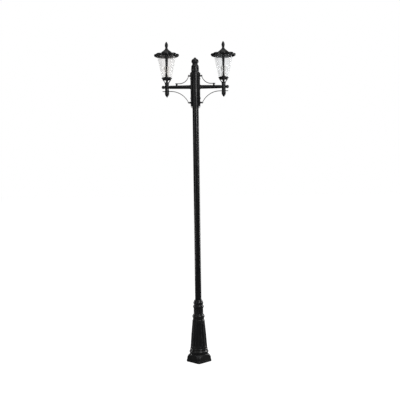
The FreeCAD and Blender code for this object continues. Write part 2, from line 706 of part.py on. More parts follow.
def main():
    """Writes one file per node."""
    os.makedirs("parts", exist_ok=True)
    nodes = build()
    for name, shape in sorted(nodes.items()):
        if not shape.isValid() or not shape.Solids:
            raise RuntimeError(name + " is not a valid solid")
        shape.exportStep("parts/" + name + ".step")
        print(name, len(shape.Solids), round(shape.Volume))
    print(len(nodes), "nodes")


main()
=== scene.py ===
"""Street lamp post: the finished look of a two-armed post, built around its design frame."""

import logging
import math
from dataclasses import dataclass
from enum import Enum
from typing import Callable, Iterable, Sequence

import bmesh
import bpy
from mathutils import Matrix, Vector


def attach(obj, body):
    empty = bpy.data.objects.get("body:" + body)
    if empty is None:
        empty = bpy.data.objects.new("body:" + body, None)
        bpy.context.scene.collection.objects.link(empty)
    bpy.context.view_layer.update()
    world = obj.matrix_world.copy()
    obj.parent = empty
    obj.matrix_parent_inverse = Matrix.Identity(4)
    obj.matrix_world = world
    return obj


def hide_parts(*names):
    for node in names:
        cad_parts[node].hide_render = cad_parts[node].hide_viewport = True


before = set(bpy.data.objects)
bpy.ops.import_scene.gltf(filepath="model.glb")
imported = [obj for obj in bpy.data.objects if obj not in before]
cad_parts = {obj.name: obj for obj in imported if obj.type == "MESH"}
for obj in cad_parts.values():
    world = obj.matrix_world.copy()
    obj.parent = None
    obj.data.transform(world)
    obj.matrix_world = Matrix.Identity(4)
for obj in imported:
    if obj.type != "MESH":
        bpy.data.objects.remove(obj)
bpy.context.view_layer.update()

LOG = logging.getLogger("lamp_post")
MM = 0.001
Point = tuple[float, float]
Step = Point | tuple[Point, Point]
Warp = Callable[[float, float, float], tuple[float, float]]

ARM_Z = 2763.0           # height of the arms' middle line, mm
REACH = 286.0            # post axis to lantern axis, mm
SLIP = 0.4               # radial gap between a sleeve and the pole, mm
POLE_R = 31.75


class Side(Enum):
    """Which end of the arms a lantern hangs on: its sign along X."""

    LEFT = -1
    RIGHT = 1

    @property
    def word(self) -> str:
        """Prefix of the node names on this side."""
        return self.name.lower()

    @property
    def axis(self) -> float:
        """X of the lantern's axis, mm."""
        return self.value * REACH


# ------------------------------------------------------------------ colours and materials


def linear(colour: str) -> tuple[float, float, float, float]:
    """Linear colour of an sRGB hex value.

    Args:
        colour: six hex digits after a hash.

    Returns:
        Red, green, blue and full alpha, linear.
    """
    channels = [int(colour[i:i + 2], 16) / 255 for i in (1, 3, 5)]
    bent = [c / 12.92 if c <= 0.04045 else ((c + 0.055) / 1.055) ** 2.4 for c in channels]
    return (bent[0], bent[1], bent[2], 1.0)


def add(tree: bpy.types.NodeTree, kind: str, settings: dict | None = None, links: dict | None = None) -> bpy.types.Node:
    """Adds one node with its settings and links.

    Args:
        tree: the tree that gets the node.
        kind: the node's type name.
        settings: attribute names, or input names or numbers, with their values.
        links: input names or numbers with the output sockets that feed them.

    Returns:
        The new node.
    """
    node = tree.nodes.new(kind)
    for name, value in (settings or {}).items():
        if isinstance(name, str) and hasattr(node, name):
            setattr(node, name, value)
        else:
            node.inputs[name].default_value = value
    for name, socket in (links or {}).items():
        tree.links.new(socket, node.inputs[name])
    return node


@dataclass(frozen=True)
class Finish:
    """What every finish shares: a name, the record's slot and a surface shader."""

    name: str
    slot: str
    colour: str
    roughness: float
    metallic: float = 0.0

    def make(self) -> bpy.types.Material:
        """Builds the material once and returns it."""
        made = bpy.data.materials.get(self.name)
        if made:
            return made
        made = bpy.data.materials.new(self.name)
        made.use_nodes = True
        tree = made.node_tree
        tree.nodes.clear()
        shader = add(tree, "ShaderNodeBsdfPrincipled", {"Roughness": self.roughness, "Metallic": self.metallic,
                                                        "Base Color": linear(self.colour)})
        add(tree, "ShaderNodeOutputMaterial", links={"Surface": shader.outputs[0]})
        place = add(tree, "ShaderNodeTexCoord").outputs["Object"]
        self.dress(tree, shader, place)
        return made

    def dress(self, tree: bpy.types.NodeTree, shader: bpy.types.Node, place: bpy.types.NodeSocket) -> None:
        """Adds this finish's own pattern; the plain finish has none."""


def speckle(tree: bpy.types.NodeTree, place: bpy.types.NodeSocket, grain_mm: float, detail: float = 2.0,
            stretch: tuple[float, float, float] = (1.0, 1.0, 1.0)) -> bpy.types.NodeSocket:
    """Noise whose lumps measure about grain_mm.

    Args:
        tree: the material's tree.
        place: the Object coordinate.
        grain_mm: size of a lump in millimetres.
        detail: octaves of finer noise.
        stretch: scale of the pattern along X, Y and Z.

    Returns:
        The noise's value, about 0.3 to 0.7.
    """
    mapped = add(tree, "ShaderNodeMapping", {"Scale": stretch}, {"Vector": place})
    noise = add(tree, "ShaderNodeTexNoise", {"Scale": 1.0 / (grain_mm * MM), "Detail": detail},
                {"Vector": mapped.outputs[0]})
    return noise.outputs[0]


def spread(tree: bpy.types.NodeTree, value: bpy.types.NodeSocket, low: float, high: float,
           to_low: float, to_high: float) -> bpy.types.NodeSocket:
    """Value carried from one range to another and held at its ends.

    Args:
        tree: the tree that gets the node.
        value: what is carried.
        low: start of its range.
        high: end of its range.
        to_low: what the start becomes.
        to_high: what the end becomes.

    Returns:
        The carried value.
    """
    node = add(tree, "ShaderNodeMapRange", {"From Min": low, "From Max": high, "To Min": to_low, "To Max": to_high},
               {"Value": value})
    return node.outputs[0]


def blended(tree: bpy.types.NodeTree, amount: bpy.types.NodeSocket, first: bpy.types.NodeSocket | str,
            second: bpy.types.NodeSocket | str) -> bpy.types.NodeSocket:
    """Colour mixed from two colours.

    Args:
        tree: the tree that gets the node.
        amount: share of the second colour.
        first: colour at 0, a hex value or a socket.
        second: colour at 1, likewise.

    Returns:
        The mixed colour.
    """
    node = add(tree, "ShaderNodeMix", {"data_type": "RGBA"}, {0: amount})
    for index, colour in ((6, first), (7, second)):
        if isinstance(colour, str):
            node.inputs[index].default_value = linear(colour)
        else:
            tree.links.new(colour, node.inputs[index])
    return node.outputs[2]


@dataclass(frozen=True)
class PowderCoat(Finish):
    """Polyester powder coat, sprayed dry and baked: a satin skin with fine orange peel.

    Corners shed a little gloss and show lighter, and dust settles in soft patches.
    """

    peel_mm: float = 2.2      # distance between the lumps of orange peel
    peel: float = 0.18
    sand_mm: float = 0.0      # grit of the sand casting under the coat, 0 on drawn tube
    worn: str = "#4a4b4d"
    dust: str = "#34332f"

    def dress(self, tree: bpy.types.NodeTree, shader: bpy.types.Node, place: bpy.types.NodeSocket) -> None:
        """Adds dust, worn edges, uneven gloss and orange peel."""
        edge = add(tree, "ShaderNodeAttribute", {"attribute_name": "edge_wear"}).outputs["Fac"]
        broken = speckle(tree, place, 9.0, 4.0)
        rubbed = add(tree, "ShaderNodeMath", {"operation": "MULTIPLY"},
                     {0: edge, 1: spread(tree, broken, 0.40, 0.62, 0.15, 0.75)}).outputs[0]
        patches = spread(tree, speckle(tree, place, 70.0, 3.0), 0.45, 0.75, 0.0, 0.30)
        dusty = blended(tree, patches, self.colour, self.dust)
        tree.links.new(blended(tree, rubbed, dusty, self.worn), shader.inputs["Base Color"])
        gloss = speckle(tree, place, 28.0, 3.0)
        rough = spread(tree, gloss, 0.3, 0.7, self.roughness - 0.05, self.roughness + 0.07)
        tree.links.new(rough, shader.inputs["Roughness"])
        height = speckle(tree, place, self.peel_mm, 1.0)
        bump = add(tree, "ShaderNodeBump", {"Strength": self.peel, "Distance": 0.25 * MM}, {"Height": height})
        if self.sand_mm:
            grit = speckle(tree, place, self.sand_mm, 2.0)
            bump = add(tree, "ShaderNodeBump", {"Strength": 0.22, "Distance": 0.5 * MM},
                       {"Height": grit, "Normal": bump.outputs[0]})
        tree.links.new(bump.outputs[0], shader.inputs["Normal"])


@dataclass(frozen=True)
class BareMetal(Finish):
    """Bare or plated steel: brushed, blackened or galvanised with a crystal spangle."""

    grain_mm: float = 0.6
    spangle_mm: float = 0.0
    second: str = "#9a9da0"

    def dress(self, tree: bpy.types.NodeTree, shader: bpy.types.Node, place: bpy.types.NodeSocket) -> None:
        """Adds the spangle or tool marks, in colour and in gloss."""
        if self.spangle_mm:
            cells = add(tree, "ShaderNodeTexVoronoi", {"Scale": 1.0 / (self.spangle_mm * MM)}, {"Vector": place})
            grey = add(tree, "ShaderNodeSeparateColor", links={0: cells.outputs["Color"]}).outputs[0]
        else:
            grey = speckle(tree, place, self.grain_mm, 2.0, (1.0, 1.0, 0.2))
        tree.links.new(blended(tree, spread(tree, grey, 0.2, 0.8, 0.0, 1.0), self.colour, self.second),
                       shader.inputs["Base Color"])
        tree.links.new(spread(tree, grey, 0.2, 0.8, self.roughness - 0.06, self.roughness + 0.1),
                       shader.inputs["Roughness"])
        bump = add(tree, "ShaderNodeBump", {"Strength": 0.1, "Distance": 0.1 * MM}, {"Height": grey})
        tree.links.new(bump.outputs[0], shader.inputs["Normal"])


@dataclass(frozen=True)
class ReededGlass(Finish):
    """Pressed acrylic with upright reeds, lightly frosted inside: clear enough to show what stands behind."""

    ior: float = 1.49
    haze: str = "#d5dade"
    clear: float = 0.90       # share of the light that goes through the wall
    body: float = 0.16        # how solid the wall looks
    streak_mm: float = 7.0
    frost_mm: float = 22.0

    def dress(self, tree: bpy.types.NodeTree, shader: bpy.types.Node, place: bpy.types.NodeSocket) -> None:
        """Makes the wall see-through, with faint upright streaks and uneven frosting."""
        shader.inputs["IOR"].default_value = self.ior
        shader.inputs["Transmission Weight"].default_value = self.clear
        shader.inputs["Alpha"].default_value = self.body
        streaks = speckle(tree, place, self.streak_mm, 2.0, (1.0, 1.0, 0.04))
        tree.links.new(blended(tree, spread(tree, streaks, 0.38, 0.66, 0.0, 1.0), self.colour, self.haze),
                       shader.inputs["Base Color"])
        tree.links.new(spread(tree, speckle(tree, place, self.frost_mm, 3.0), 0.3, 0.7, self.roughness - 0.06,
                              self.roughness + 0.1), shader.inputs["Roughness"])


@dataclass(frozen=True)
class Moulded(Finish):
    """Moulded plastic, rubber, glaze or opal glass: an even body with faint mottling and a fine skin."""

    mottle: str = "#808080"
    mottle_mm: float = 12.0
    skin_mm: float = 0.8
    skin: float = 0.1
    coat: float = 0.0

    def dress(self, tree: bpy.types.NodeTree, shader: bpy.types.Node, place: bpy.types.NodeSocket) -> None:
        """Adds mottling, skin and, on glazed ware, a clear coat."""
        shader.inputs["Coat Weight"].default_value = self.coat
        amount = spread(tree, speckle(tree, place, self.mottle_mm, 3.0), 0.35, 0.75, 0.0, 0.6)
        tree.links.new(blended(tree, amount, self.colour, self.mottle), shader.inputs["Base Color"])
        bump = add(tree, "ShaderNodeBump", {"Strength": self.skin, "Distance": 0.1 * MM},
                   {"Height": speckle(tree, place, self.skin_mm, 1.0)})
        tree.links.new(bump.outputs[0], shader.inputs["Normal"])


CAST_BLACK = PowderCoat("powder_coat_on_casting", "black_casting", "#151618", 0.34, sand_mm=1.6)
TUBE_BLACK = PowderCoat("powder_coat_on_tube", "black_tube", "#141517", 0.27, peel=0.07)
BAR_BLACK = PowderCoat("powder_coat_on_bar", "black_bar", "#151618", 0.34)
SCREW_BLACK = BareMetal("blackened_steel", "dark_screws", "#2c2d30", 0.38, 1.0, second="#3d3e41")
SCREW_ZINC = BareMetal("zinc_plated_steel", "steel_screws", "#b9b7a8", 0.30, 1.0, second="#a3a398")
GALVANISED = BareMetal("galvanised_steel", "galvanised_steel", "#a4a8ab", 0.42, 1.0, spangle_mm=9.0, second="#8c9195")
CAP_NICKEL = BareMetal("nickel_plated_brass", "lamp_cap_metal", "#c9c4b6", 0.22, 1.0, second="#b5b0a2")
GLASS_CLEAR = ReededGlass("reeded_acrylic_cool", "reeded_glass", "#dde1e5", 0.36)
GLASS_WARM = ReededGlass("reeded_acrylic_warm", "reeded_glass", "#e4dfdb", 0.38, haze="#d6d0cc")
OPAL = Moulded("opal_glass", "opal_bulb", "#f4f3ef", 0.25, mottle="#eceae4", skin=0.02, coat=0.4)
PORCELAIN = Moulded("glazed_porcelain", "white_ceramic", "#ecebe6", 0.18, mottle="#dedcd4", skin=0.05, coat=0.6)
RUBBER = Moulded("epdm_rubber", "gasket_rubber", "#1c1c1c", 0.75, mottle="#2b2b2a", skin=0.3)
TERMINAL = Moulded("moulded_polyamide", "terminal_plastic", "#d8d5cb", 0.5, mottle="#c9c5b9", skin=0.2)
SHEATH = Moulded("silicone_sheath", "lead_sheath", "#262626", 0.5, mottle="#343434", skin=0.2)


# ------------------------------------------------------------------ meshes


def arc_points(a: Point, middle: Point, b: Point, step_deg: float = 7.0) -> list[Point]:
    """Points after a, up to b, on the arc through three points.

    Args:
        a: first point.
        middle: any point of the arc between its ends.
        b: last point.
        step_deg: angle between two points.

    Returns:
        The points, without a and with b.
    """
    (ax, ay), (mx, my), (bx, by) = a, middle, b
    d = 2 * (ax * (my - by) + mx * (by - ay) + bx * (ay - my))
    if abs(d) < 1e-9:
        return [b]
    a2, m2, b2 = ax * ax + ay * ay, mx * mx + my * my, bx * bx + by * by
    cx = (a2 * (my - by) + m2 * (by - ay) + b2 * (ay - my)) / d
    cy = (a2 * (bx - mx) + m2 * (ax - bx) + b2 * (mx - ax)) / d
    start, end = math.atan2(ay - cy, ax - cx), math.atan2(by - cy, bx - cx)
    through = math.atan2(my - cy, mx - cx)
    sweep = (end - start) % math.tau
    if (through - start) % math.tau > sweep:
        sweep -= math.tau
    count = max(2, math.ceil(abs(math.degrees(sweep)) / step_deg))
    radius = math.hypot(ax - cx, ay - cy)
    turns = [start + sweep * (i + 1) / count for i in range(count)]
    return [(cx + radius * math.cos(t), cy + radius * math.sin(t)) for t in turns[:-1]] + [b]


def eased(points: list[Point], radius: float, closed: bool) -> list[Point]:
    """Outline with its sharp corners rounded.

    Args:
        points: the outline.
        radius: how far from a corner the rounding starts, mm.
        closed: whether the last point joins the first.

    Returns:
        The rounded outline.
    """
    result: list[Point] = []
    count = len(points)
    for i, here in enumerate(points):
        if not closed and i in (0, count - 1):
            result.append(here)
            continue
        back, on = Vector(points[i - 1]) - Vector(here), Vector(points[(i + 1) % count]) - Vector(here)
        if min(back.length, on.length) < 1e-6 or math.pi - back.angle(on) < math.radians(22):
            result.append(here)
            continue
        reach = min(radius, 0.42 * back.length, 0.42 * on.length)
        first, last = Vector(here) + back.normalized() * reach, Vector(here) + on.normalized() * reach
        for k in range(4):
            t = k / 3
            spot = first * (1 - t) ** 2 + Vector(here) * 2 * t * (1 - t) + last * t * t
            result.append((spot.x, spot.y))
    return result


def trace(start: Point, *steps: Step, soften: float = 0.8, closed: bool = True, pitch: float = 0.0) -> list[Point]:
    """Outline through points and arcs, with its corners softened.

    Args:
        start: first point.
        steps: a point for a straight, or (middle, end) for an arc.
        soften: corner rounding, mm.
        closed: whether the outline returns to its start.
        pitch: longest straight before it is divided, mm, or 0 to leave straights whole.

    Returns:
        The outline's points.
    """
    points = [start]
    for step in steps:
        if isinstance(step[0], tuple):
            points += arc_points(points[-1], step[0], step[1])
        else:
            points.append(step)
    points = eased(points, soften, closed)
    if not pitch:
        return points
    fine: list[Point] = []
    last = len(points) if closed else len(points) - 1
    for i in range(last):
        (ax, ay), (bx, by) = points[i], points[(i + 1) % len(points)]
        parts = max(1, math.ceil(math.hypot(bx - ax, by - ay) / pitch))
        fine += [(ax + (bx - ax) * k / parts, ay + (by - ay) * k / parts) for k in range(parts)]
    return fine if closed else fine + [points[-1]]


def finish_mesh(mesh: bmesh.types.BMesh, name: str, sharp_deg: float = 38.0) -> bpy.types.Object:
    """Turns a bmesh in millimetres into an object in metres with smooth faces, sharp edges and edge wear.

    Args:
        mesh: the bmesh, which is freed.
        name: name of the object.
        sharp_deg: angle from which an edge is shown sharp.

    Returns:
        The object, linked to the scene, at the origin.
    """
    bmesh.ops.scale(mesh, vec=(MM, MM, MM), verts=mesh.verts)
    mesh.normal_update()
    wear = {}
    for edge in mesh.edges:
        if len(edge.link_faces) == 2:
            bend = edge.calc_face_angle_signed(0.0)
            edge.smooth = abs(bend) < math.radians(sharp_deg)
            for vert in edge.verts:
                wear[vert.index] = max(wear.get(vert.index, 0.0), min(1.0, bend / 0.45))
    for face in mesh.faces:
        face.smooth = True
    data = bpy.data.meshes.new(name)
    mesh.to_mesh(data)
    mesh.free()
    values = data.attributes.new("edge_wear", "FLOAT", "POINT").data
    for index, value in wear.items():
        values[index].value = max(0.0, value)
    made = bpy.data.objects.new(name, data)
    bpy.context.scene.collection.objects.link(made)
    return made


def add_lathe(mesh: bmesh.types.BMesh, points: Sequence[Point], segments: int, closed: bool = True,
              warp: Warp | None = None, place: Matrix | None = None) -> None:
    """Turns an outline about the Z axis into a bmesh.

    Args:
        mesh: the bmesh that gets the faces.
        points: outline of radius and height, going up on the outside.
        segments: divisions round the axis.
        closed: whether the outline closes on itself; if not, both its ends lie on the axis.
        warp: changes radius and height by angle, or None.
        place: where the result goes, or None.
    """
    rings: list[list[bmesh.types.BMVert]] = []
    for r, z in points:
        if r < 1e-4:
            rings.append([mesh.verts.new((0.0, 0.0, z))])
            continue
        ring = []
        for k in range(segments):
            angle = math.tau * k / segments
            rr, zz = warp(angle, r, z) if warp else (r, z)
            ring.append(mesh.verts.new((rr * math.cos(angle), rr * math.sin(angle), zz)))
        rings.append(ring)
    pairs = list(zip(rings, rings[1:]))
    if closed:
        pairs.append((rings[-1], rings[0]))
    for low, high in pairs:
        for k in range(segments):
            n = (k + 1) % segments
            if len(low) == 1 and len(high) == 1:
                continue
            if len(low) == 1:
                mesh.faces.new((low[0], high[n], high[k]))
            elif len(high) == 1:
                mesh.faces.new((low[k], low[n], high[0]))
            else:
                mesh.faces.new((low[k], low[n], high[n], high[k]))
    if place:
        bmesh.ops.transform(mesh, matrix=place, verts=[v for ring in rings for v in ring])


def add_prism(mesh: bmesh.types.BMesh, points: Sequence[Point], low: float, high: float, place: Matrix,
              edge: float = 0.8) -> None:
    """Adds a plate: an outline with softened rims, extruded between two heights.

    Args:
        mesh: the bmesh that gets the faces.
        points: outline in the plate's own XY plane, anticlockwise.
        low: lower height, mm.
        high: upper height, mm.
        place: where the plate goes.
        edge: rounding of the rims, mm.
    """
    middle = Vector((sum(p[0] for p in points) / len(points), sum(p[1] for p in points) / len(points)))
    size = max((Vector(p) - middle).length for p in points)
    levels = [(low, 1 - edge / size), (low + edge * 0.3, 1 - edge * 0.3 / size), (low + edge, 1.0),
              (high - edge, 1.0), (high - edge * 0.3, 1 - edge * 0.3 / size), (high, 1 - edge / size)]
    rings = []
    for z, share in levels:
        spots = [middle + (Vector(p) - middle) * share for p in points]
        rings.append([mesh.verts.new(place @ Vector((s.x, s.y, z))) for s in spots])
    for a, b in zip(rings, rings[1:]):
        for k in range(len(points)):
            n = (k + 1) % len(points)
            mesh.faces.new((a[k], a[n], b[n], b[k]))
    mesh.faces.new(rings[0][::-1])
    mesh.faces.new(rings[-1])


def axes(origin: Sequence[float], x: Sequence[float], z: Sequence[float]) -> Matrix:
    """Placement whose own X and Z point along two given directions.

    Args:
        origin: where its origin goes, mm.
        x: direction of its X.
        z: direction of its Z, square to x.

    Returns:
        The placement.
    """
    zx, xx = Vector(z).normalized(), Vector(x).normalized()
    yx = zx.cross(xx)
    turn = Matrix((xx, yx, zx)).transposed().to_4x4()
    return Matrix.Translation(Vector(origin)) @ turn


def shifted(x: float, y: float = 0.0, z: float = 0.0) -> Matrix:
    """Placement moved by millimetres."""
    return Matrix.Translation((x, y, z))


def settle(piece: bpy.types.Object, body: str, finish: Finish, *nodes: str) -> bpy.types.Object:
    """Gives a piece its finish, the body it rides on and the design nodes it stands for.

    Args:
        piece: the finished object.
        body: name of the body.
        finish: the finish.
        nodes: the nodes it replaces.

    Returns:
        The piece.
    """
    piece.data.materials.clear()
    piece.data.materials.append(finish.make())
    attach(piece, body)
    if nodes:
        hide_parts(*nodes)
    LOG.info("%s rides on %s, %d faces", piece.name, body, len(piece.data.polygons))
    return piece


def refined(node: str, name: str, edge: float = 0.8, segments: int = 2) -> bpy.types.Object:
    """Copy of a design node with its flat faces joined and its corners rounded.

    Args:
        node: the design node.
        name: name of the copy.
        edge: corner rounding, mm.
        segments: divisions of the rounding.

    Returns:
        The copy, at the origin.
    """
    mesh = bmesh.new()
    mesh.from_mesh(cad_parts[node].data)
    mesh.transform(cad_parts[node].matrix_world)
    bmesh.ops.scale(mesh, vec=(1 / MM, 1 / MM, 1 / MM), verts=mesh.verts)
    bmesh.ops.remove_doubles(mesh, verts=mesh.verts, dist=0.01)
    bmesh.ops.dissolve_limit(mesh, angle_limit=math.radians(1.0), verts=mesh.verts, edges=mesh.edges)
    corners = [e for e in mesh.edges if len(e.link_faces) == 2 and e.calc_face_angle(0.0) > math.radians(28)]
    bmesh.ops.bevel(mesh, geom=corners, offset=edge, segments=segments, profile=0.6, affect="EDGES",
                    clamp_overlap=True)
    return finish_mesh(mesh, name)


# ------------------------------------------------------------------ geometry nodes


class Recipe:
    """A geometry-node tree that is run once on a carrier object and turned into a plain mesh."""

    def __init__(self, name: str) -> None:
        """Starts an empty tree with a geometry output."""
        self.tree = bpy.data.node_groups.new(name, "GeometryNodeTree")
        self.tree.interface.new_socket("Geometry", in_out="INPUT", socket_type="NodeSocketGeometry")
        self.tree.interface.new_socket("Geometry", in_out="OUTPUT", socket_type="NodeSocketGeometry")
        self.sockets: dict[str, str] = {}

    def size(self, name: str, kind: str = "NodeSocketFloat") -> None:
        """Adds a named input.

        Args:
            name: the input's name.
            kind: its socket type.
        """
        made = self.tree.interface.new_socket(name, in_out="INPUT", socket_type=kind)
        self.sockets[name] = made.identifier

    def inputs(self) -> bpy.types.Node:
        """Adds the group input node, after every named input."""
        return add(self.tree, "NodeGroupInput")

    def maths(self, operation: str, *values: bpy.types.NodeSocket | float) -> bpy.types.NodeSocket:
        """Adds a math node fed by sockets or numbers.

        Args:
            operation: the node's operation.
            values: one to three sockets or numbers.

        Returns:
            The result.
        """
        node = add(self.tree, "ShaderNodeMath", {"operation": operation})
        for index, value in enumerate(values):
            if isinstance(value, bpy.types.NodeSocket):
                self.tree.links.new(value, node.inputs[index])
            else:
                node.inputs[index].default_value = value
        return node.outputs[0]

    def close(self, geometry: bpy.types.NodeSocket, finish: Finish) -> None:
        """Ends the tree: realized instances with a material.

        Args:
            geometry: what the tree has made.
            finish: its finish.
        """
        real = add(self.tree, "GeometryNodeRealizeInstances", links={0: geometry})
        dressed = add(self.tree, "GeometryNodeSetMaterial", links={"Geometry": real.outputs[0]})
        dressed.inputs["Material"].default_value = finish.make()
        add(self.tree, "NodeGroupOutput", links={0: dressed.outputs[0]})

    def bake(self, name: str, carrier: bpy.types.Mesh, values: dict[str, object]) -> bpy.types.Object:
        """Runs the tree on a carrier and returns the result as a plain mesh object.

        Args:
            name: name of the object.
            carrier: mesh that the tree starts from.
            values: named inputs with their values, in metres.

        Returns:
            The object, at the origin, with no modifier left.
        """
        holder = bpy.data.objects.new(name + "_carrier", carrier)
        bpy.context.scene.collection.objects.link(holder)
        modifier = holder.modifiers.new("recipe", "NODES")
        modifier.node_group = self.tree
        for key, value in values.items():
            modifier[self.sockets[key]] = value
        graph = bpy.context.evaluated_depsgraph_get()
        made = bpy.data.meshes.new_from_object(holder.evaluated_get(graph))
        bpy.data.objects.remove(holder)
        mesh = bmesh.new()
        mesh.from_mesh(made)
        bmesh.ops.remove_doubles(mesh, verts=mesh.verts, dist=0.002 * MM)
        bmesh.ops.scale(mesh, vec=(1 / MM, 1 / MM, 1 / MM), verts=mesh.verts)
        return finish_mesh(mesh, name)


def bar_recipe() -> Recipe:
    """Flat bar swept along the carrier's edges, with rounded corners."""
    recipe = Recipe("flat_bar")
    for name in ("Width", "Thickness", "Corner"):
        recipe.size(name)
    given = recipe.inputs()
    path = add(recipe.tree, "GeometryNodeMeshToCurve", links={0: given.outputs["Geometry"]})
    level = add(recipe.tree, "GeometryNodeSetCurveNormal", {"mode": "FREE", "Normal": (0.0, 1.0, 0.0)},
                {0: path.outputs[0]})
    section = add(recipe.tree, "GeometryNodeCurvePrimitiveQuadrilateral",
                  links={"Width": given.outputs["Width"], "Height": given.outputs["Thickness"]})
    round_off = add(recipe.tree, "GeometryNodeFilletCurve", {"mode": "POLY", "Count": 3},
                    {"Curve": section.outputs[0], "Radius": given.outputs["Corner"]})
    swept = add(recipe.tree, "GeometryNodeCurveToMesh", {"Fill Caps": True},
                {"Curve": level.outputs[0], "Profile Curve": round_off.outputs[0]})
    recipe.close(swept.outputs[0], BAR_BLACK)
    return recipe


def screw_recipe() -> Recipe:
    """A screw at each point of the carrier, turned to the point's "way"."""
    recipe = Recipe("screws")
    recipe.size("Screw", "NodeSocketObject")
    given = recipe.inputs()
    shape = add(recipe.tree, "GeometryNodeObjectInfo", links={"Object": given.outputs["Screw"]})
    way = add(recipe.tree, "GeometryNodeInputNamedAttribute", {"data_type": "FLOAT_VECTOR", "Name": "way"})
    turn = add(recipe.tree, "FunctionNodeAlignRotationToVector", {"axis": "Z"}, {"Vector": way.outputs[0]})
    points = add(recipe.tree, "GeometryNodeInstanceOnPoints",
                 links={"Points": given.outputs["Geometry"], "Instance": shape.outputs["Geometry"],
                        "Rotation": turn.outputs[0]})
    recipe.close(points.outputs[0], SCREW_BLACK)
    return recipe


def glass_recipe(finish: Finish) -> Recipe:
    """Tapered wall with upright reeds outside, from a flat grid rolled round the axis.

    Args:
        finish: the glass.

    Returns:
        The recipe; its carrier's mesh is the grid, with the share round the axis in X, and "outer" 1 on the outside.
    """
    recipe = Recipe("reeded_wall_" + finish.name)
    for name in ("Axis", "Reeds", "Depth"):
        recipe.size(name)
    given = recipe.inputs()
    place = add(recipe.tree, "GeometryNodeInputPosition")
    split = add(recipe.tree, "ShaderNodeSeparateXYZ", links={0: place.outputs[0]})
    share, radius, height = split.outputs
    angle = recipe.maths("MULTIPLY", share, math.tau)
    outer = add(recipe.tree, "GeometryNodeInputNamedAttribute", {"data_type": "FLOAT", "Name": "outer"})
    wave = recipe.maths("SINE", recipe.maths("MULTIPLY", recipe.maths("MULTIPLY", angle, given.outputs["Reeds"]), 0.5))
    dip = recipe.maths("MULTIPLY", recipe.maths("SUBTRACT", 1.0, recipe.maths("ABSOLUTE", wave)),
                       recipe.maths("MULTIPLY", given.outputs["Depth"], outer.outputs[0]))
    reach = recipe.maths("SUBTRACT", radius, dip)
    x = recipe.maths("ADD", given.outputs["Axis"], recipe.maths("MULTIPLY", reach, recipe.maths("COSINE", angle)))
    y = recipe.maths("MULTIPLY", reach, recipe.maths("SINE", angle))
    rolled = add(recipe.tree, "ShaderNodeCombineXYZ", links={0: x, 1: y, 2: height})
    moved = add(recipe.tree, "GeometryNodeSetPosition", links={"Geometry": given.outputs["Geometry"],
                                                               "Position": rolled.outputs[0]})
    recipe.close(moved.outputs[0], finish)
    return recipe


# ------------------------------------------------------------------ the post


def bump_between(value: float, low: float, high: float, ease: float) -> float:
    """One between two limits, easing to nought over a margin inside each.

    Args:
        value: where it is measured.
        low: lower limit.
        high: upper limit.
        ease: the margin.

    Returns:
        From 0 to 1.
    """
    share = min((value - low) / ease, (high - value) / ease, 1.0)
    share = max(0.0, share)
    return share * share * (3 - 2 * share)


def dress_node(node: str, finish: Finish) -> None:
    """Gives a design node, shown as it is, its finish.

    Args:
        node: name of the node.
        finish: its finish.
    """
    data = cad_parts[node].data
    data.materials.clear()
    data.materials.append(finish.make())
    LOG.info("%s is dressed as %s", node, finish.name)


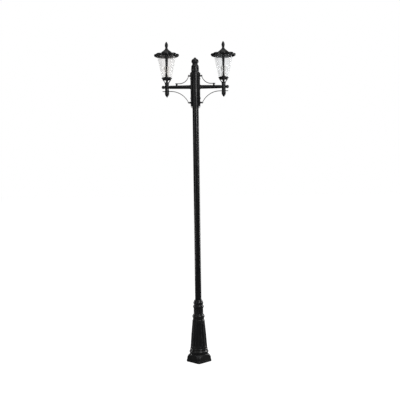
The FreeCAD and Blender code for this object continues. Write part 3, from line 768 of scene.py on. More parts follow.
@dataclass
class Base:
    """Cast base: a square plinth, corner to the front, under a fluted trunk and a ringed collar. Millimetres."""

    plinth_half: float = 93.0
    trunk_foot: float = 138.0
    trunk_head: float = 415.0
    flutes: int = 16
    flute_depth: float = 3.6
    flute_share: float = 0.74      # width of a flute against its pitch
    wall: float = 6.0
    plinth_top: float = 78.0
    step_in: float = 1.6           # how far the sides stand back above the foot
    foot_high: float = 17.0        # where they start to stand back
    step_ease: float = 5.0         # height over which they do
    segments: int = 256

    def square(self, angle: float, half: float) -> float:
        """Distance from the axis to the side of the plinth at an angle, with its corners rounded."""
        a, b = abs(math.cos(angle - math.pi / 4)), abs(math.sin(angle - math.pi / 4))
        return half / (a ** 26 + b ** 26) ** (1 / 26)

    def soft_least(self, a: float, b: float, soft: float = 3.0) -> float:
        """Smaller of two radii, blended where they are alike, as in a casting."""
        h = max(soft - abs(a - b), 0.0) / soft
        return min(a, b) - h * h * soft * 0.25

    def shape(self, angle: float, r: float, z: float) -> Point:
        """Plinth sides below, flutes above.

        Args:
            angle: round the axis, radians.
            r: radius before.
            z: height before.

        Returns:
            Radius and height after.
        """
        if z < self.plinth_top:
            outer = r > 118.5 - 31.5 * (z / self.plinth_top) ** 2
            back = bump_between(z, self.foot_high, self.plinth_top + self.step_ease, self.step_ease)
            half = self.plinth_half - (self.step_in * back if outer else self.wall)
            return (self.soft_least(r, self.square(angle, half)), z)
        low, high = self.trunk_foot + 15, self.trunk_head - 10
        outer = r > 55 + (self.trunk_head - z) * 0.085
        if outer and low < z < high:
            along = (angle * self.flutes / math.tau) % 1.0 * 2 - 1
            across = along / self.flute_share
            end = max(0.0, (low + 11 - z) / 11, (z - high + 9) / 9)
            inside = 1 - across * across - end * end
            if inside > 0:
                return r - self.flute_depth * math.sqrt(inside), z
        return r, z

    def casting(self) -> None:
        """Builds the plinth and trunk as one hollow casting."""
        inner = self.plinth_half - self.wall
        bore, throat = POLE_R + SLIP, inner - self.wall
        points = trace((114, 0.0), (124, 0.0), (124, 18), (121.5, 21), (119, 27), ((116.5, 50), (102, 68)), (94, 76),
                       (91, 79.5), (91, 90), ((96, 101), (92, 112)), ((86.5, 121), (88, 131)),
                       (84.5, self.trunk_foot), ((75.5, 260), (61, self.trunk_head)), ((57, 420), (56, 430)),
                       (bore, 430), (bore, 421), (49, self.trunk_head), ((63.5, 260), (72.5, 142)), (throat, 100),
                       (throat, 66), (95, 58), (106, 44), (113, 18), soften=1.6, pitch=5.0)
        mesh = bmesh.new()
        add_lathe(mesh, points, self.segments, warp=self.shape)
        bmesh.ops.remove_doubles(mesh, verts=mesh.verts, dist=0.005)
        settle(finish_mesh(mesh, "fluted_base", 50.0), "post", CAST_BLACK, "base_casting")

    def neck(self, angle: float, r: float, z: float) -> Point:
        """Upright leaves cut round the neck of the collar.

        Args:
            angle: round the axis, radians.
            r: radius before.
            z: height before.

        Returns:
            Radius and height after.
        """
        depth = 2.4 * bump_between(z, 488, 530, 12)
        if depth and r > 40:
            return r - depth * (0.5 - 0.5 * math.cos(angle * self.flutes)), z
        return r, z

    def collar(self) -> None:
        """Builds the ringed collar."""
        bore = POLE_R + SLIP
        points = trace((bore, 430.05), (55.9, 430.05), (56, 437), ((61.8, 452), (56, 468)), ((50, 476), (48.5, 490)),
                       (47.2, 528), ((48.5, 536), (52, 542)), ((54.3, 552), (50, 562)), ((45.8, 569), (46.3, 577)),
                       ((49.8, 588), (46, 600)), (38, 618), (bore, 618), soften=1.0, pitch=4.0)
        mesh = bmesh.new()
        add_lathe(mesh, points, 192, warp=self.neck)
        settle(finish_mesh(mesh, "ringed_collar", 45.0), "post", CAST_BLACK, "base_collar")

    def build(self) -> None:
        """Builds the base and dresses its hidden plate."""
        self.casting()
        self.collar()
        dress_node("base_plate", GALVANISED)


@dataclass
class Pole:
    """Round tube from the base plate to the cap. Millimetres."""

    wall: float = 3.25
    low: float = 10.0
    high: float = 2968.0

    def build(self) -> None:
        """Builds the tube."""
        mesh = bmesh.new()
        inner = POLE_R - self.wall
        points = trace((inner, self.low), (POLE_R, self.low), (POLE_R, self.high), (inner, self.high), soften=0.5,
                       pitch=120.0)
        add_lathe(mesh, points, 96)
        settle(finish_mesh(mesh, "pole"), "post", TUBE_BLACK, "pole_tube")


@dataclass
class Head:
    """Sleeve, plates and cap at the top of the pole. Millimetres."""

    cap_low: float = 2915.5
    plates: tuple[Side, ...] = (Side.LEFT, Side.RIGHT)

    def cap(self) -> None:
        """Builds the turned cap over the pole's end."""
        bore = POLE_R + SLIP / 2
        points = trace((bore, self.cap_low), (38.4, self.cap_low), ((39.6, 2944), (38, 2966)),
                       ((34, 2980), (27, 2989)), ((26, 2995), (28.5, 3001)), ((36.3, 3024), (24, 3044)),
                       ((15.5, 3048), (12.5, 3053)), ((8, 3058.8), (0.0, 3060)), (0.0, 2950), (27.5, 2950),
                       (27.5, 2969), (bore, 2969), soften=0.8, closed=False)
        mesh = bmesh.new()
        add_lathe(mesh, points, 96)
        settle(finish_mesh(mesh, "post_cap_turned", 42.0), "post", CAST_BLACK, "post_cap")

    def build(self) -> None:
        """Builds the head."""
        self.cap()
        settle(refined("head_sleeve", "sleeve", 1.4, 3), "post", CAST_BLACK, "head_sleeve")
        for side in self.plates:
            node = side.word + "_backplate"
            settle(refined(node, node + "_eased", 1.2, 3), "post", BAR_BLACK, node)
        for node, finish in (("terminal_block", TERMINAL), ("terminal_bracket", GALVANISED),
                             ("terminal_screws", SCREW_ZINC)):
            dress_node(node, finish)


@dataclass
class Arm:
    """One arm with its tee casting, tip, finial and brackets. Millimetres."""

    side: Side
    root_x: float = 48.5
    boss_half: float = 21.5
    root_r: float = 19.2
    end_r: float = 16.3
    neck_r: float = 13.0
    bore_r: float = 9.0
    bar_wide: float = 22.0
    bar_thick: float = 5.0

    @property
    def along(self) -> Matrix:
        """Placement whose Z runs out along the arm from the post's axis."""
        return axes((0, 0, ARM_Z), (0, 0, 1), (self.side.value, 0, 0))

    def name(self, word: str) -> str:
        """Piece name with this side's prefix."""
        return self.side.word + "_" + word

    def turned(self, word: str, finish: Finish, points: Sequence[Point], place: Matrix, closed: bool,
               segments: int = 72) -> None:
        """Builds a turned piece that stands for the design node of the same name.

        Args:
            word: the node's name without its side.
            finish: its finish.
            points: outline of radius and height.
            place: where it goes.
            closed: whether the outline closes on itself.
            segments: divisions round the axis.
        """
        mesh = bmesh.new()
        add_lathe(mesh, points, segments, closed=closed, place=place)
        settle(finish_mesh(mesh, self.name(word) + "_turned"), "post", finish, self.name(word))

    def arm(self) -> None:
        """Tapered arm with a flange at its root."""
        end, root = REACH - self.boss_half, self.root_x
        points = trace((self.bore_r, root), (22.3, root), (22.5, root + 4.5), (21, root + 6),
                       (self.root_r, root + 7.5), (self.end_r, end - 6), (self.neck_r, end - 0.2),
                       (self.bore_r + 1.5, end - 0.2), (self.bore_r + 1.5, end + 8.5), (self.bore_r, end + 8.5),
                       soften=0.8, pitch=40.0)
        self.turned("arm_tube", CAST_BLACK, points, self.along, True)

    def boss(self) -> None:
        """Tee casting: a ball on an upright stem with a bead at each end."""
        half, bead, stem, low, high = self.boss_half, 21.2, 19.9, -39.5, 39.0
        ball = trace((0.0, -half), (12.8, -half), ((25.0, 0.0), (12.8, half)), (0.0, half), closed=False, soften=0.7)
        post = trace((0.0, low), (20.5, low), (bead, low + 3), (bead, low + 6), (stem, low + 8), (stem, high - 9),
                     (bead, high - 7), (bead, high - 3), (20.0, high), (6.0, high), (6.0, 20), (0.0, 20),
                     closed=False, soften=0.8)
        mesh = bmesh.new()
        add_lathe(mesh, post, 72, closed=False, place=shifted(self.side.axis, 0, ARM_Z))
        add_lathe(mesh, ball, 72, closed=False,
                  place=axes((self.side.axis, 0, ARM_Z), (0, 0, 1), (self.side.value, 0, 0)))
        settle(finish_mesh(mesh, self.name("tee_casting")), "post", CAST_BLACK, self.name("arm_boss"))

    def tip(self) -> None:
        """Rounded end of the arm."""
        start = REACH + self.boss_half
        points = trace((0.0, start - 10), (5, start - 10), (5, start), (self.neck_r, start), (13.2, start + 2.5),
                       ((14.2, start + 6), (16.2, start + 10)), ((16.7, start + 14), (16.0, start + 18.5)),
                       ((13.2, 333), (8.0, 337.4)), ((4.2, 338.9), (0.0, 339.0)), closed=False, soften=0.8)
        self.turned("arm_tip", CAST_BLACK, points, self.along, False)

    def drop(self) -> None:
        """Pointed finial under the bar."""
        top = 2718.5
        points = trace((0.0, top - 59), ((2.4, top - 58), (4.0, top - 55.5)), (8, top - 49.5),
                       ((13.4, top - 43), (17, top - 37)), ((20.4, top - 29), (21.7, top - 20)), (21.8, top - 12),
                       (20.4, top - 10), (21.5, top - 7), (21.5, top), (5, top), (5, 2739), (0.0, 2739),
                       closed=False, soften=0.8)
        self.turned("drop_finial", CAST_BLACK, points, shifted(self.side.axis), False)

    def bar(self, word: str, centre: Point, radius: float, start_z: float, end_x: float, up: bool) -> None:
        """Flat bar that leaves the post in an arc and runs out level.

        Args:
            word: the node's name without its side.
            centre: centre of the arc.
            radius: radius of the bar's middle line.
            start_z: height at the post.
            end_x: where it ends.
            up: whether the arc hangs below its centre.
        """
        cx, cz = centre
        rise = start_z - cz
        start = math.atan2(rise, -math.sqrt(radius ** 2 - rise ** 2)) % math.tau
        stop = math.pi * (1.5 if up else 0.5)
        spots = [(cx + radius * math.cos(start + (stop - start) * k / 40),
                  cz + radius * math.sin(start + (stop - start) * k / 40)) for k in range(41)]
        level = spots[-1][1]
        spots += [(cx + (end_x - cx) * k / 4, level) for k in range(1, 5)]
        carrier = bpy.data.meshes.new(word)
        carrier.from_pydata([(self.side.value * x * MM, 0, z * MM) for x, z in spots],
                            [(k, k + 1) for k in range(len(spots) - 1)], [])
        piece = bar_recipe().bake(self.name(word) + "_bar", carrier,
                                  {"Width": self.bar_wide * MM, "Thickness": self.bar_thick * MM, "Corner": 1.1 * MM})
        settle(piece, "post", BAR_BLACK, self.name(word))

    def spools(self) -> None:
        """Waisted spacers: two on the plate and one on the arm."""
        mesh = bmesh.new()
        s = self.side.value
        for height, length in ((2875.0, 16.1), (2605.0, 18.7)):
            add_lathe(mesh, self.spool(length), 48, closed=False,
                      place=axes((s * self.root_x, 0, height), (0, 0, 1), (s, 0, 0)))
        foot = ARM_Z + 16.3
        add_lathe(mesh, self.spool(2795.5 - foot, wide=1.5), 48, closed=False, place=shifted(s * 187.0, 0, foot))
        settle(finish_mesh(mesh, self.name("spacers")), "post", CAST_BLACK, self.name("spools"))

    def spool(self, length: float, wide: float = 0.0) -> list[Point]:
        """Outline of a spool that stands on its own XY plane.

        Args:
            length: its height.
            wide: how much thicker its waist is than usual.

        Returns:
            The outline.
        """
        rim, waist = 11.0, 6.5 + wide
        return trace((0.0, 0.0), (rim, 0.0), (rim, 2.6), ((waist, length / 2), (rim, length - 2.6)), (rim, length),
                     (0.0, length), closed=False, soften=0.8)

    def build(self) -> None:
        """Builds the arm and its brackets."""
        self.arm()
        self.boss()
        self.tip()
        self.drop()
        self.bar("upper_scroll", (160.5, 2893.0), 95.0, 2886.0, 202.0, True)
        self.bar("lower_scroll", (250.0, 2523.0), 198.0, 2595.0, 330.0, False)
        self.spools()
        dress_node(self.name("nipple"), GALVANISED)
        dress_node(self.name("lead"), SHEATH)


@dataclass
class Lantern:
    """One lantern on its open neck. Millimetres, with the lantern's axis at the side's reach."""

    side: Side
    glass: Finish
    neck_low: float = 2802.0
    tray_low: float = 2842.0
    tray_high: float = 2856.0
    glass_low: float = 2858.5
    glass_high: float = 3082.0
    glass_low_r: float = 49.0
    glass_high_r: float = 95.2
    glass_wall: float = 3.2
    reeds: int = 48
    lobes: int = 8
    brim_r: float = 126.0
    lobe_r: float = 46.0
    lobe_lift: float = 5.0
    ring_r: float = 101.5
    strap_foot: float = 11.0       # half widths of a strap
    strap_nip: float = 4.6         # how much less it is at the waist
    strap_spread: float = 6.4      # how much more at the head
    strap_slack: float = 0.4       # gap each side of a strap in its notch
    reed_depth: float = 0.15
    lamp_low: float = 2862.0
    lamp_top: float = 2979.0

    def name(self, word: str) -> str:
        """Piece name with this side's prefix."""
        return self.side.word + "_" + word

    @property
    def place(self) -> Matrix:
        """The lantern's axis."""
        return shifted(self.side.axis)

    def glass_r(self, z: float) -> float:
        """Outer radius of the glass at a height."""
        share = (z - self.glass_low) / (self.glass_high - self.glass_low)
        return self.glass_low_r + share * (self.glass_high_r - self.glass_low_r)

    def turned(self, word: str, body: str, finish: Finish, points: Sequence[Point], closed: bool,
               segments: int = 96, warp: Warp | None = None, sharp: float = 38.0) -> None:
        """Builds a turned piece that stands for the design node of the same name.

        Args:
            word: the node's name without its side.
            body: the body it rides on.
            finish: its finish.
            points: outline of radius and height.
            closed: whether the outline closes on itself.
            segments: divisions round the axis.
            warp: changes radius and height by angle, or None.
            sharp: angle from which an edge is shown sharp.
        """
        mesh = bmesh.new()
        add_lathe(mesh, points, segments, closed=closed, warp=warp, place=self.place)
        settle(finish_mesh(mesh, self.name(word) + "_cast", sharp), body, finish, self.name(word))

    def neck(self) -> None:
        """Open neck: hub, four slanted legs and a ring."""
        low, high = self.neck_low, self.tray_low
        mesh = bmesh.new()
        hub = trace((6.05, low), (22, low), (22, low + 5), (19.5, low + 9), (6.05, low + 9), soften=1.0)
        ring = trace((33, high - 5), (43.4, high - 5), (44, high), (33, high), soften=0.8)
        add_lathe(mesh, hub, 72, place=self.place)
        add_lathe(mesh, ring, 96, place=self.place)
        leg = [(-11.5, 0.0), (11.5, 0.0), (9.4, 12.0), (9.2, 20.0), (9.8, 28.0), (12.5, 41.0), (-12.5, 41.0),
               (-9.8, 28.0), (-9.2, 20.0), (-9.4, 12.0)]
        for k in range(4):
            angle = math.pi / 2 * k
            way = Vector((math.cos(angle), math.sin(angle), 0))
            start = Vector((self.side.axis, 0, low + 3.5)) + way * 16
            rise = (way * 22.5 + Vector((0, 0, 33.5))).normalized()
            across = rise.cross(way.cross(Vector((0, 0, 1)))).normalized()
            turn = Matrix((rise.cross(across).normalized(), rise, across)).transposed().to_4x4()
            add_prism(mesh, leg, -3.6, 3.6, Matrix.Translation(start) @ turn, 0.9)
        settle(finish_mesh(mesh, self.name("open_neck")), "post", CAST_BLACK, self.name("lantern_spider"))

    def tray(self) -> None:
        """Dish that the glass stands in, with a beaded rim."""
        low, high = self.tray_low, self.tray_high
        points = trace((6.05, low), (44, low), ((47, low + 6), (51.6, high - 4.5)), (53, high - 3.5), (53, high),
                       (43.5, high), (43.5, high + 6), (40, high + 6), (38, low + 6), (12, low + 6),
                       (12, high + 4), (6.05, high + 4), soften=0.7, pitch=6.0)
        self.turned("tray", "post", CAST_BLACK, points, True, 256, self.notched, 50.0)

    def notched(self, angle: float, r: float, z: float) -> Point:
        """Tray with a notch in front and behind, where the straps' feet sit.

        Args:
            angle: round the axis, radians.
            r: radius before.
            z: height before.

        Returns:
            Radius and height after.
        """
        inside = abs(r * math.cos(angle)) < self.strap_foot + self.strap_slack and z < self.tray_high + 1
        return (min(r, self.glass_r(z) + 0.7), z) if inside else (r, z)

    def strap_half_width(self, share: float) -> float:
        """Half the strap's width, from its foot at 0 to the ring at 1: wide foot, slim waist, wide head."""
        foot = self.strap_foot - self.strap_nip * min(1.0, max(0.0, (share - 0.08) / 0.2)) ** 0.8
        head = self.strap_spread * max(0.0, (share - 0.3) / 0.7) ** 1.25
        return foot + head

    def cage(self) -> None:
        """Ring under the roof, with a ribbed strap at the front and the back."""
        low, high, reach = self.tray_low + 0.5, 3087.0, self.ring_r
        mesh = bmesh.new()
        ring = trace((96.6, 3080), (100, 3080), (reach, 3081.5), (reach, 3089), (reach - 1, 3090), (96.6, 3090),
                     soften=0.8)
        add_lathe(mesh, ring, 128, place=self.place)
        rows, columns = 44, 14
        for face in (-1, 1):
            skins = []
            for outer in (0, 1):
                grid = []
                for i in range(rows + 1):
                    share = i / rows
                    z = low + (high - low) * share
                    half = self.strap_half_width(share)
                    row = []
                    for j in range(columns + 1):
                        u = j / columns * 2 - 1
                        x = half * u
                        r = self.glass_r(z) + 1.0
                        if outer:
                            rib = 1.6 * max(0.0, 1 - (abs(u) / 0.34) ** 2) ** 0.5
                            edge = 1.2 * max(0.0, (abs(u) - 0.82) / 0.18) ** 2
                            r = min(r + 3.6 + rib - edge, reach)
                        row.append(mesh.verts.new((self.side.axis + x, face * math.sqrt(max(r * r - x * x, 1)), z)))
                    grid.append(row)
                skins.append(grid)
            inner, outer_skin = skins
            flip = face > 0
            for grid, back in ((outer_skin, False), (inner, True)):
                for i in range(rows):
                    for j in range(columns):
                        quad = (grid[i][j], grid[i][j + 1], grid[i + 1][j + 1], grid[i + 1][j])
                        mesh.faces.new(quad[::-1] if back != flip else quad)
            rim = [(0, j) for j in range(columns)] + [(i, columns) for i in range(rows)]
            rim += [(rows, j) for j in range(columns, 0, -1)] + [(i, 0) for i in range(rows, 0, -1)]
            for k, (i, j) in enumerate(rim):
                ni, nj = rim[(k + 1) % len(rim)]
                quad = (outer_skin[i][j], inner[i][j], inner[ni][nj], outer_skin[ni][nj])
                mesh.faces.new(quad[::-1] if flip else quad)
        settle(finish_mesh(mesh, self.name("lantern_frame"), 50.0), "post", CAST_BLACK, self.name("cage"))

    def lens(self) -> None:
        """Reeded glass."""
        columns = self.reeds * 8
        outline = trace((self.glass_low_r - self.glass_wall, self.glass_low), (self.glass_low_r, self.glass_low),
                        (self.glass_high_r, self.glass_high), (self.glass_high_r - self.glass_wall, self.glass_high),
                        soften=0.8, pitch=24.0)
        carrier = bpy.data.meshes.new(self.name("glass_grid"))
        verts, faces, outer = [], [], []
        count = len(outline)
        for k in range(columns + 1):
            for r, z in outline:
                verts.append((k / columns, r * MM, z * MM))
                inset = self.glass_r(z) - r
                outer.append(1.0 if inset < 0.5 and self.glass_low + 3 < z < self.glass_high - 3 else 0.0)
        for k in range(columns):
            for i in range(count):
                a, b = k * count + i, k * count + (i + 1) % count
                faces.append((a, a + count, b + count, b))
        carrier.from_pydata(verts, [], faces)
        values = carrier.attributes.new("outer", "FLOAT", "POINT").data
        for index, value in enumerate(outer):
            values[index].value = value
        piece = glass_recipe(self.glass).bake(self.name("reeded_glass"), carrier,
                                              {"Axis": self.side.axis * MM, "Reeds": float(self.reeds),
                                               "Depth": self.reed_depth * MM})
        settle(piece, "post", self.glass, self.name("lens"))

    def gaskets(self) -> None:
        """Rubber rings under and over the glass."""
        lower = trace((44, self.tray_high), (48.3, self.tray_high), (48.3, self.glass_low), (44, self.glass_low),
                      soften=0.8)
        self.turned("lower_gasket", "post", RUBBER, lower, True)
        low = self.glass_high + 0.5
        upper = trace((88, low), (94.5, low), (94.5, low + 2.5), (88, low + 2.5), soften=0.8)
        self.turned("upper_gasket", self.name("roof"), RUBBER, upper, True)

    def lamp(self) -> None:
        """Holder, threaded cap and opal bulb."""
        low = self.lamp_low
        holder = trace((6.05, low), (14, low), (20, low + 6), (20, low + 22), (18.8, low + 24), (20, low + 26),
                       (20, low + 38), (13.35, low + 38), (13.35, low + 6), (6.05, low + 6), soften=0.8)
        self.turned("lamp_holder", "post", PORCELAIN, holder, True)
        foot, neck, top = low + 7, low + 41, self.lamp_top
        threads = []
        for k in range(7):
            z = foot + 6 + k * 3.6
            threads += [(13.2, z), (12.5, z + 1.8)]
        cap = trace((0.0, foot), (5, foot), (11.5, foot + 4), *threads, (13.2, neck - 4), (13.2, neck), (0.0, neck),
                    closed=False, soften=0.5)
        self.turned("lamp_cap", self.name("lamp"), CAP_NICKEL, cap, False)
        bulb = trace((0.0, neck), (13.0, neck), ((20, neck + 18), (30, top - 30)),
                     ((21.2, top - 8.8), (0.0, top)), closed=False, soften=0.5)
        self.turned("lamp_bulb", self.name("lamp"), OPAL, bulb, False)

    def lobe_edge(self, angle: float) -> tuple[float, float]:
        """Shape of the brim in plan.

        Args:
            angle: round the axis, radians.

        Returns:
            The radius as a share of the greatest, and 1 at a lobe's middle down to 0 between lobes.
        """
        pitch = math.tau / self.lobes
        off = (angle + pitch / 2) % pitch - pitch / 2
        reach = self.brim_r - self.lobe_r
        radius = reach * math.cos(off) + math.sqrt(self.lobe_r ** 2 - (reach * math.sin(off)) ** 2)
        return radius / self.brim_r, math.cos(math.pi * off / pitch) ** 2

    def brim(self, angle: float, r: float, z: float) -> Point:
        """Scalloped brim: each lobe is round in plan and curls up in its middle.

        Args:
            angle: round the axis, radians.
            r: radius before.
            z: height before.

        Returns:
            Radius and height after.
        """
        share = max(0.0, min(1.0, (r - 62) / (self.brim_r - 62)))
        if z < 3091 and r < 103:
            share = 0.0
        plan, crest = self.lobe_edge(angle)
        lift = self.lobe_lift * (crest - 0.45) * share ** 1.6
        return r * (1 - (1 - plan) * share ** 2), z + lift

    def roof(self) -> None:
        """Concave roof with a scalloped, beaded brim."""
        points = trace((5.05, 3146), (17, 3146), (17, 3144.5), ((36, 3129), (58, 3111.5)), ((79, 3101.5), (104, 3097)),
                       ((117, 3096.5), (124.5, 3091.5)), ((126, 3086), (124.8, 3079)), ((121.5, 3073.4), (116, 3072)),
                       (102.7, 3072), (102.7, 3090.5), (96.5, 3090.5), (96.5, 3085), (86, 3085), (86, 3093),
                       ((58, 3103), (30, 3126)), (17, 3136), (5.05, 3136), soften=0.8, pitch=3.5)
        self.turned("roof", self.name("roof"), CAST_BLACK, points[::-1], True, 240, self.brim, 48.0)

    def finial(self) -> None:
        """Pointed finial on the roof."""
        low = 3146.5
        points = trace((0.0, 3122), (5, 3122), (5, low), (16.9, low), (16.9, low + 2.5), (14.0, low + 5),
                       ((11.8, 3160), (12.2, 3165.5)), (14.2, 3167), (14.2, 3169.5), (13.4, 3171),
                       ((16.6, 3184), (13.0, 3202)), ((8.0, 3214.5), (3.2, 3221)), ((1.8, 3222.6), (0.0, 3223)),
                       closed=False, soften=0.6)
        self.turned("finial", self.name("finial"), CAST_BLACK, points, False, 64)

    def build(self) -> None:
        """Builds the lantern."""
        for step in (self.neck, self.tray, self.cage, self.lens, self.gaskets, self.lamp, self.roof, self.finial):
            step()


# ------------------------------------------------------------------ screws


class HeadKind(Enum):
    """Shapes of screw."""

    BUTTON = "button"
    HEXAGON = "hexagon"
    GRUB = "grub"
    CAP = "cap"


@dataclass
class Screws:
    """A set of like screws on one body, each at a seat and turned to its way out. Millimetres."""

    name: str
    body: str
    nodes: tuple[str, ...]
    kind: HeadKind
    seats: list[tuple[tuple[float, float, float], tuple[float, float, float]]]
    shank: float = 10.0

    def hexagon(self, radius: float) -> list[Point]:
        """Six corners, anticlockwise."""
        return [(radius * math.cos(math.pi * k / 3), radius * math.sin(math.pi * k / 3)) for k in range(6)]

    def outline(self) -> list[Point]:
        """Outline of the turned part, from the axis inside to the socket's floor."""
        if self.kind is HeadKind.BUTTON:
            return trace((0.0, -self.shank), (2.9, -self.shank), (2.9, 0.02), (5.4, 0.02), ((4.6, 2.4), (2.9, 3.2)),
                         (1.9, 3.25), (1.9, 1.4), (0.0, 1.2), closed=False, soften=0.3)
        if self.kind is HeadKind.GRUB:
            return trace((0.0, -self.shank), (3.9, -self.shank), (3.9, -0.3), (3.5, 0.0), (1.8, 0.0), (1.8, -3.0),
                         (0.0, -3.2), closed=False, soften=0.3)
        if self.kind is HeadKind.CAP:
            return trace((0.0, -self.shank), (2.4, -self.shank), (2.4, 0.0), (4.1, 0.0), (4.1, 3.6), (3.7, 4.0),
                         (2.0, 4.0), (2.0, 1.6), (0.0, 1.4), closed=False, soften=0.3)
        return trace((0.0, -self.shank), (3.9, -self.shank), (3.9, 0.0), (0.0, 0.0), closed=False, soften=0.3)

    def master(self) -> bpy.types.Object:
        """One screw at the origin, pointing up."""
        mesh = bmesh.new()
        add_lathe(mesh, self.outline(), 24, closed=False)
        if self.kind is HeadKind.HEXAGON:
            add_prism(mesh, self.hexagon(6.5), 0.05, 3.95, Matrix.Identity(4), 0.6)
        return finish_mesh(mesh, self.name + "_master")

    def build(self) -> None:
        """Sets a screw at every seat and joins them into one piece."""
        master = self.master()
        carrier = bpy.data.meshes.new(self.name + "_seats")
        carrier.from_pydata([tuple(v * MM for v in seat) for seat, _ in self.seats], [], [])
        ways = carrier.attributes.new("way", "FLOAT_VECTOR", "POINT").data
        for index, (_, way) in enumerate(self.seats):
            ways[index].vector = way
        piece = screw_recipe().bake(self.name, carrier, {"Screw": master})
        bpy.data.objects.remove(master)
        settle(piece, self.body, SCREW_BLACK, *self.nodes)


def all_screws() -> Iterable[Screws]:
    """Every set of screws on the post."""
    button, grub = HeadKind.BUTTON, HeadKind.GRUB
    ends = (-1, 1)
    ring = [math.radians(a) for a in (90, 210, 330)]
    yield Screws("collar_set_screws", "post", ("collar_grub_screws",), grub,
                 [((44.7 * math.cos(a), 44.7 * math.sin(a), 568), (math.cos(a), math.sin(a), 0)) for a in ring], 12.6)
    yield Screws("sleeve_set_screws", "post", ("sleeve_grub_screws",), grub,
                 [((0, s * 36.2, 2583), (0, s, 0)) for s in ends], 4.2)
    yield Screws("cap_set_screws", "post", ("cap_grub_screws",), grub,
                 [((0, s * 38.2, 2955), (0, s, 0)) for s in ends], 6.2)
    yield Screws("plate_bolts", "post", ("backplate_bolts",), HeadKind.HEXAGON,
                 [((s * 48.5, 0, z), (s, 0, 0)) for s in ends for z in (2650, 2846)], 13.0)
    seats = [((s * x, 0, z), (s * nx, 0, nz)) for s in ends
             for x, z, nx, nz in ((69.8, 2875, 1, 0), (74.0, 2605, 1, 0), (187, 2800.5, 0, 1))]
    yield Screws("bracket_screws", "post", ("scroll_screws",), button, seats, 20.0)
    yield Screws("frame_screws", "post", ("cage_screws",), button,
                 [((s * REACH, f * 53.2, 2848.5), (0, f, 0)) for s in ends for f in ends], 8.0)
    for side in Side:
        notches = [math.radians(a) for a in (22.5, 202.5)]
        yield Screws(side.word + "_roof_cap_screws", side.word + "_roof", (side.word + "_roof_screws",),
                     HeadKind.CAP,
                     [((side.axis + 107 * math.cos(a), 107 * math.sin(a), 3085), (math.cos(a), math.sin(a), 0))
                      for a in notches], 4.9)


# ------------------------------------------------------------------ studio


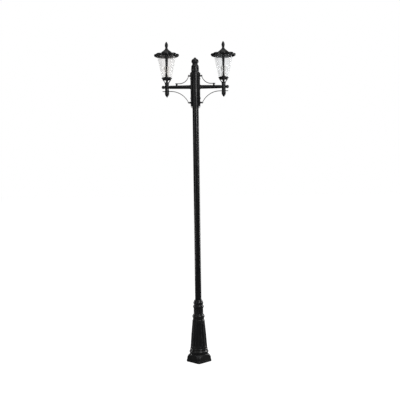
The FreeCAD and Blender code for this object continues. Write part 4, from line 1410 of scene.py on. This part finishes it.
@dataclass
class Studio:
    """Pale floor, soft lights and the camera. Metres."""

    eye: tuple[float, float, float] = (0.0345, -7.0, 1.85)
    lens_mm: float = 62.48
    shift_down: float = 0.0563     # share of the frame that the level view is moved down
    roll_deg: float = 0.80

    def floor(self) -> None:
        """Pale seamless floor."""
        mesh = bmesh.new()
        bmesh.ops.create_circle(mesh, cap_ends=True, segments=96, radius=60.0)
        data = bpy.data.meshes.new("studio_floor")
        mesh.to_mesh(data)
        mesh.free()
        made = bpy.data.objects.new("studio_floor", data)
        bpy.context.scene.collection.objects.link(made)
        made.location.z = -0.0005
        material = bpy.data.materials.new("pale_floor")
        material.use_nodes = True
        tree = material.node_tree
        shader = tree.nodes["Principled BSDF"]
        shader.inputs["Base Color"].default_value = linear("#8c8c8c")
        shader.inputs["Roughness"].default_value = 0.9
        shader.inputs["Emission Color"].default_value = (1.0, 1.0, 1.0, 1.0)
        tree.links.new(self.seen(tree, 0.0, 1.0), shader.inputs["Emission Strength"])
        data.materials.append(material)

    def light(self, name: str, at: tuple[float, float, float], to: tuple[float, float, float],
              size: tuple[float, float], watts: float) -> None:
        """One soft box.

        Args:
            name: its name.
            at: where it stands.
            to: what it points at.
            size: its width and height.
            watts: its power.
        """
        data = bpy.data.lights.new(name, "AREA")
        data.shape = "RECTANGLE"
        data.size, data.size_y = size
        data.energy = watts
        made = bpy.data.objects.new(name, data)
        made.location = at
        made.rotation_euler = (Vector(to) - Vector(at)).to_track_quat("-Z", "Y").to_euler()
        made.visible_camera = False
        bpy.context.scene.collection.objects.link(made)

    def seen(self, tree: bpy.types.NodeTree, unseen: float, looked_at: float) -> bpy.types.NodeSocket:
        """Strength of the backdrop, by how it is reached.

        Args:
            tree: the backdrop's tree.
            unseen: strength that lights and mirrors get.
            looked_at: strength seen directly or through glass.

        Returns:
            The strength.
        """
        rays = add(tree, "ShaderNodeLightPath")
        direct = add(tree, "ShaderNodeMath", {"operation": "MAXIMUM"},
                     {0: rays.outputs["Is Camera Ray"], 1: rays.outputs["Transmission Depth"]})
        return spread(tree, direct.outputs[0], 0.0, 1.0, unseen, looked_at)

    def world(self) -> None:
        """White to look at, a dimmer grey in what the black coat mirrors."""
        world = bpy.data.worlds.new("studio")
        world.use_nodes = True
        tree = world.node_tree
        tree.nodes.clear()
        sky = add(tree, "ShaderNodeBackground", {"Color": (1.0, 1.0, 1.0, 1.0)},
                  {"Strength": self.seen(tree, 0.04, 1.0)})
        add(tree, "ShaderNodeOutputWorld", links={"Surface": sky.outputs[0]})
        bpy.context.scene.world = world

    def camera(self) -> None:
        """Level camera at eye height."""
        data = bpy.data.cameras.new("view")
        data.lens, data.sensor_width = self.lens_mm, 36.0
        data.shift_y = -self.shift_down
        made = bpy.data.objects.new("view", data)
        made.location = self.eye
        made.rotation_euler = (math.radians(90), math.radians(self.roll_deg), 0)
        bpy.context.scene.collection.objects.link(made)
        bpy.context.scene.camera = made

    def build(self) -> None:
        """Sets up the studio."""
        self.floor()
        self.world()
        self.camera()
        self.light("key", (2.2, -3.6, 3.8), (0, 0, 2.6), (0.5, 2.4), 70)
        self.light("rim_right", (3.2, 1.6, 2.6), (0, 0, 2.2), (0.8, 3.0), 50)
        self.light("fill_left", (-3.4, -3.0, 2.2), (0, 0, 1.7), (1.6, 3.0), 18)
        self.light("top", (0, -0.5, 6.0), (0, 0, 0), (4.0, 4.0), 45)
        self.light("foot_left", (-2.4, 1.2, 0.9), (0, 0, 0.1), (0.8, 0.8), 14)
        self.light("foot_right", (2.4, 1.2, 0.9), (0, 0, 0.1), (0.8, 0.8), 14)
        bpy.context.scene.view_settings.view_transform = "Standard"


def main() -> None:
    """Builds every sub-assembly in order."""
    logging.basicConfig(level=logging.INFO, format="%(name)s: %(message)s")
    Base().build()
    Pole().build()
    Head().build()
    for side, glass in ((Side.LEFT, GLASS_WARM), (Side.RIGHT, GLASS_CLEAR)):
        Arm(side).build()
        Lantern(side, glass).build()
    for screws in all_screws():
        screws.build()
    Studio().build()


if __name__ == "__main__":
    main()
